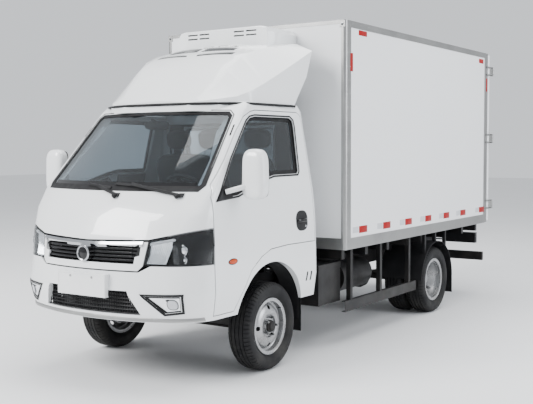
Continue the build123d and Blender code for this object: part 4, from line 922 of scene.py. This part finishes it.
def add_wheels():
    for side, name in SIDES:
        tyre = Piece(f"front_tyre_{name}")
        add_tyre(tyre, side * 0.728, AXLE_Y)
        tyre.made(f"front_wheel_{name}", "rubber_tread", [f"tyre_front_{name}"])
        twins = Piece(f"twin_tyres_{name}")
        for middle in (0.7975, 0.5725):
            add_tyre(twins, side * middle, REAR_AXLE_Y)
        twins.made(f"rear_wheels_{name}", "rubber_tread", [f"tyres_rear_{name}"])
        hub = Piece(f"front_nuts_{name}")
        add_nuts(hub, side * 0.799, AXLE_Y, 0.066, 5, 0.0105)
        cap = [(0.0, 0.046), (0.012, 0.045), (0.018, 0.038), (0.030, 0.034), (0.034, 0.026), (0.034, 0.0)]
        hub.turned((side * 0.795, AXLE_Y, HUB_Z), (side, 0, 0), cap, frame_paint, 32)
        valve = Vector((side * 0.793, AXLE_Y + 0.118, HUB_Z + 0.118))
        hub.tube([valve, valve + Vector((side * 0.022, 0.006, 0.006))], 0.004, rubber, 10)
        hub.made(f"front_wheel_{name}", "rim_silver")
        rear = Piece(f"rear_nuts_{name}")
        add_nuts(rear, side * 0.697, REAR_AXLE_Y, 0.078, 6, 0.011)
        rear.made(f"rear_wheels_{name}", "rim_silver")


# Insulated box: reflectors, rivets, caps, rear door parts and lamps

BOX_WALLS = ("box_left_wall", "box_right_wall", "box_edge_trim", "box_rear_frame", "box_roof", "box_floor")
RED_TAPES = (-0.428, 0.022, 0.475, 0.926, 1.377, 1.825, 2.369)
CORNER_TAPES = (
    ((-0.442, 2.556), (-0.294, 2.599)), ((-0.591, 2.254), (-0.539, 2.401)),
    ((2.325, 2.540), (2.461, 2.587)), ((2.549, 2.245), (2.596, 2.388)),
)
RIVET = [(0, 0.006), (0.0015, 0.005), (0.0024, 0.0025), (0.0026, 0)]
HINGE_BOLT = [(0, 0.008), (0.003, 0.007), (0.005, 0.004), (0.005, 0)]
LAMP_SECTION = ((0, 0.574), (0.008, 0.580), (0.011, 0.622), (0.008, 0.665), (0, 0.671))


def add_film(piece, low, high, onto, shader, side=1):
    """A flat reflecting film between two corners."""
    add_pad(piece, rectangle(low, high, side), onto, shader, 0.0012, 0.0002, 0.001, 0.2)


def add_box_details():
    for side, name in SIDES:
        onto = from_side(side, *BOX_WALLS)
        tapes = Piece(f"box_reflectors_{name}")
        for y in RED_TAPES:
            add_film(tapes, (y, 0.923), (y + 0.148, 0.982), onto, red_film)
            add_film(tapes, (y - 0.112, 0.930), (y - 0.012, 0.980), onto, white_film)
        for low, high in CORNER_TAPES:
            add_film(tapes, low, high, onto, red_film)
        tapes.made(slot="box_panel")

        rivets = Piece(f"box_rivets_{name}")
        spots = [(y, 0.86 + 0.11 * i) for y in (-0.630, -0.592) for i in range(17)]
        spots += [(-0.55 + 0.14 * i, z) for i in range(23) for z in (0.835, 2.634)]
        for spot in spots:
            rivets.turned(onto(spot, 0), (side, 0, 0), RIVET, aluminium, 8)
        rivets.made(slot="bare_aluminium")

        leaf = from_back(f"rear_door_{name}")
        rear = Piece(f"rear_door_parts_{name}")
        low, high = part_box(f"rear_door_{name}")
        inner = min(abs(low.x), abs(high.x)) + 0.010
        edge = rectangle((inner, 0.838), (0.905, 2.632), side)
        add_band(rear, edge, (-0.012, 0.004), leaf, aluminium, 0.002, 0.001, 0.3)
        for x in (0.36, 0.70):
            add_film(rear, (x - 0.074, 0.862), (x + 0.074, 0.917), leaf, red_film, side)
            add_film(rear, (x + 0.080, 0.864), (x + 0.165, 0.915), leaf, white_film, side)
        for height in (1.000, 1.730, 2.470):
            for x in (0.70, 0.77, 0.84):
                for z in (height - 0.018, height + 0.018):
                    rear.turned(leaf((side * x, z), 0), (0, 1, 0), HINGE_BOLT, aluminium, 6)
        rear.made(f"rear_leaf_{name}", "bare_aluminium")

        lamp = Piece(f"tail_lamp_lenses_{name}")
        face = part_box("tail_lamps")[1].y
        for start, end, shader in ((0.450, 0.530, white_film), (0.535, 0.665, red_lens), (0.670, 0.790, amber_lens)):
            rows = []
            for step, x in enumerate(spread(start, end, 32)):
                flute = 0.0015 * (step % 2)
                rows.append([(side * x, face + (deep + flute if deep else 0), z) for deep, z in LAMP_SECTION])
            lamp.grid(rows, shader)
        lamp.made(slot="tail_red")

    caps = Piece("box_corner_caps")
    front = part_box("box_edge_trim")[0].y
    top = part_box("box_roof")[1].z
    for side in (1, -1):
        low, high = sorted((side * 0.865, side * 0.915))
        caps.block((low, front - 0.002, top - 0.058), (high, front + 0.002, top - 0.006), aluminium)
        button = [(0, 0.012), (0.004, 0.010), (0.005, 0)]
        caps.turned((side * 0.890, front - 0.002, top - 0.032), (0, -1, 0), button, dark_chrome, 16)
    caps.made(slot="bare_aluminium")


# Cab inside

SEAT_PAD = 0.056
SEAM_ROW = 8


def pad_rows(middle, half, tilt, power=4.0):
    """A crowned closed cushion: a superellipse drawn in towards its top and bottom."""
    turn = Matrix.Rotation(tilt, 3, "X")
    rows = []
    for angle in spread(0, pi, 2 * SEAM_ROW):
        height = -cos(angle)
        rise = abs(height) ** (2 / 2.6) * (1 if height > 0 else -1)
        reach = max(0.03, sin(angle)) ** (2 / 5)
        ring = []
        for point in oval((0, 0), (half[0] * reach, half[1] * reach), power=power):
            crown = 1 - 0.25 * (point.x / half[0]) ** 2 * (1 if height > 0 else 0)
            ring.append(Vector(middle) + turn @ Vector((point.x, point.y, half[2] * rise * crown)))
        rows.append(ring)
    return rows


def add_seats():
    for name, middle, half, heads in (("driver", 0.365, 0.25, (0,)), ("bench", -0.265, 0.35, (-0.17, 0.17))):
        seat = Piece(f"{name}_seat")
        for place, reach, tilt in (
            ((middle, AXLE_Y + 0.100, 1.060), (half - 0.004, 0.222, SEAT_PAD), -4),
            ((middle, AXLE_Y + 0.418, 1.352), (half - 0.020, 0.250, SEAT_PAD), 108),
        ):
            rows = pad_rows(place, reach, radians(tilt))
            seat.closed(rows, seat_cloth)
            seat.tube(rows[SEAM_ROW], 0.004, rubber, 6, closed=True)
        for head in heads:
            x = middle + head
            seat.closed(pad_rows((x, AXLE_Y + 0.477, 1.708), (0.122, 0.082, 0.044), radians(102), 3.0), seat_cloth)
            for post in (x - 0.05, x + 0.05):
                seat.tube([(post, AXLE_Y + 0.455, 1.57), (post, AXLE_Y + 0.465, 1.65)], 0.006, chrome, 10)
        cushions = seat.made(slot="seat_cloth", replaces=["cab_seats"])
        base = Piece(f"{name}_seat_base")
        low, high = middle - half + 0.04, middle + half - 0.04
        base.block((low, AXLE_Y - 0.07, 0.951), (high, AXLE_Y + 0.31, 1.004), plastic, 0.008)
        for x in (middle - 0.16, middle + 0.16):
            base.block((x - 0.02, AXLE_Y - 0.10, 0.951), (x + 0.02, AXLE_Y + 0.34, 0.965), frame_paint, 0.002)
        base.made(slot="seat_cloth")


def add_dash_details():
    onto = onto_surface(["dashboard"], 1, AXLE_Y + 0.2, -1)
    piece = Piece("dash_details")
    add_pad(piece, rectangle((-0.105, 1.110), (0.105, 1.225)), onto, plastic, 0.010, 0.004, 0.004)
    add_pad(piece, rectangle((-0.095, 1.120), (0.095, 1.215)), onto, gloss_black_and_painted_shade, 0.012, 0.0, 0.002)
    for x in (-0.56, -0.20, 0.17, 0.585):
        add_pad(piece, rectangle((x - 0.045, 1.155), (x + 0.045, 1.215)), onto, gloss_black_and_painted_shade, 0.005, 0.004, 0.003)
        for z in (1.167, 1.179, 1.191, 1.203):
            slat = rectangle((x - 0.040, z - 0.002), (x + 0.040, z + 0.002))
            add_pad(piece, slat, onto, dash_plastic, 0.009, 0.0, 0.001, 0.02)
    add_band(piece, rectangle((-0.56, 1.020), (-0.22, 1.130)), (-0.003, 0.0), onto, rubber, 0.001, 0.001)
    piece.made()


LINING = 0.004
REAR_LININGS = (
    ((-0.68, 0.97), (0.68, 1.425)), ((-0.62, 1.425), (-0.462, 1.84)),
    ((0.462, 1.425), (0.62, 1.84)), ((-0.462, 1.82), (0.462, 1.84)),
)


def add_lining(piece, low, high, parts, onto):
    """A thin lining on a surface between two corners."""
    rows = [[onto((x, y), LINING) for x in spread(low[0], high[0], 16)] for y in spread(low[1], high[1], parts)]
    piece.grid(rows, dash_plastic)


def add_linings():
    """Dark linings on the rear wall, under the roof and on the doors' insides."""
    lining = Piece("cab_lining")
    onto_wall = onto_surface(["cab_shell"], 1, AXLE_Y + 0.30, 1)
    for low, high in REAR_LININGS:
        add_lining(lining, low, high, 6, onto_wall)
    onto_roof = onto_surface(["cab_shell"], 2, 1.60, 1)
    add_lining(lining, (-0.56, AXLE_Y - 0.14), (0.56, AXLE_Y + 0.42), 8, onto_roof)
    lining.made()
    for side, name in SIDES:
        onto = onto_surface([f"door_{name}"], 0, side * 0.35, side)
        inside = Piece(f"door_panel_{name}")
        rows = []
        for y in spread(-0.40, 0.40, 14):
            top = min(1.425, 1.31 + (y + 0.404) * 0.28)
            rows.append([onto((AXLE_Y + y, z), LINING) for z in spread(0.80, top, 10)])
        inside.grid(rows, dash_plastic)
        face = onto((AXLE_Y + 0.05, 1.18), 0).x
        low, high = sorted((face - side * 0.045, face - side * 0.002))
        inside.block((low, AXLE_Y - 0.18, 1.165), (high, AXLE_Y + 0.26, 1.195), plastic, 0.006)
        inside.made(f"door_{name}")


# Camera, lights and floor

CAMERA_PLACE = Vector((4.4165, -7.0847, 1.6341))
CAMERA_YAW = 0.5862
CAMERA_PITCH = 0.0598
CAMERA_ROLL = -0.0037
CAMERA_LENS = 60.87
FLOOR_REACH = 40


def add_camera():
    flat = cos(CAMERA_PITCH)
    ahead = Vector((-sin(CAMERA_YAW) * flat, cos(CAMERA_YAW) * flat, -sin(CAMERA_PITCH)))
    level = Vector((cos(CAMERA_YAW), sin(CAMERA_YAW), 0))
    above = level.cross(ahead)
    right = level * cos(CAMERA_ROLL) + above * sin(CAMERA_ROLL)
    up = above * cos(CAMERA_ROLL) - level * sin(CAMERA_ROLL)
    data = bpy.data.cameras.new("camera")
    data.lens = CAMERA_LENS
    data.sensor_width = 36
    camera = placed("camera", data)
    turned = Matrix((right, up, -ahead)).transposed().to_4x4()
    camera.matrix_world = Matrix.Translation(CAMERA_PLACE) @ turned
    scene.camera = camera


def area_light(name, place, target, size, power, colour=(1, 1, 1)):
    data = bpy.data.lights.new(name, "AREA")
    data.shape = "RECTANGLE"
    data.size, data.size_y = size
    data.energy = power
    data.color = colour
    light = placed(name, data)
    light.location = place
    light.rotation_euler = (Vector(target) - Vector(place)).to_track_quat("-Z", "Y").to_euler()


def add_stage():
    world = bpy.data.worlds.new("studio")
    world.use_nodes = True
    back = world.node_tree.nodes["Background"]
    back.inputs["Color"].default_value = (0.90, 0.93, 0.97, 1)
    back.inputs["Strength"].default_value = 1.0
    scene.world = world
    area_light("front_key", (-4.5, -10, 7.5), (0, -1.5, 1.2), (6, 5), 1900)
    area_light("top_soft", (1, 0.5, 8.5), (0, 0.3, 1.0), (7, 9), 800)
    area_light("side_fill", (9, 1.5, 4.0), (0, 0.6, 1.2), (5, 6), 560, (0.92, 0.95, 1.0))
    mesh = bpy.data.meshes.new("floor")
    corners = rectangle((-FLOOR_REACH, -FLOOR_REACH), (FLOOR_REACH, FLOOR_REACH))
    mesh.from_pydata([(x, y, 0) for x, y in corners], [], [(0, 1, 2, 3)])
    ground = Shader("studio_floor", (0.80, 0.805, 0.81), 0.8)
    ground.mottled((0.78, 0.785, 0.79), 0.8)
    mesh.materials.append(ground.material)
    floor = placed("floor", mesh)


add_camera()
add_stage()
dress_frame()
add_window_seals()
add_wiper_caps()
add_inner_mirror()
add_pillar_slots()
add_grille_trim()
add_headlamps()
add_bumper_trim()
add_door_trim()
add_mirrors()
add_fairing_trim()
add_unit_cover()
add_arches()
add_wheels()
add_box_details()
add_seats()
add_dash_details()
add_linings()
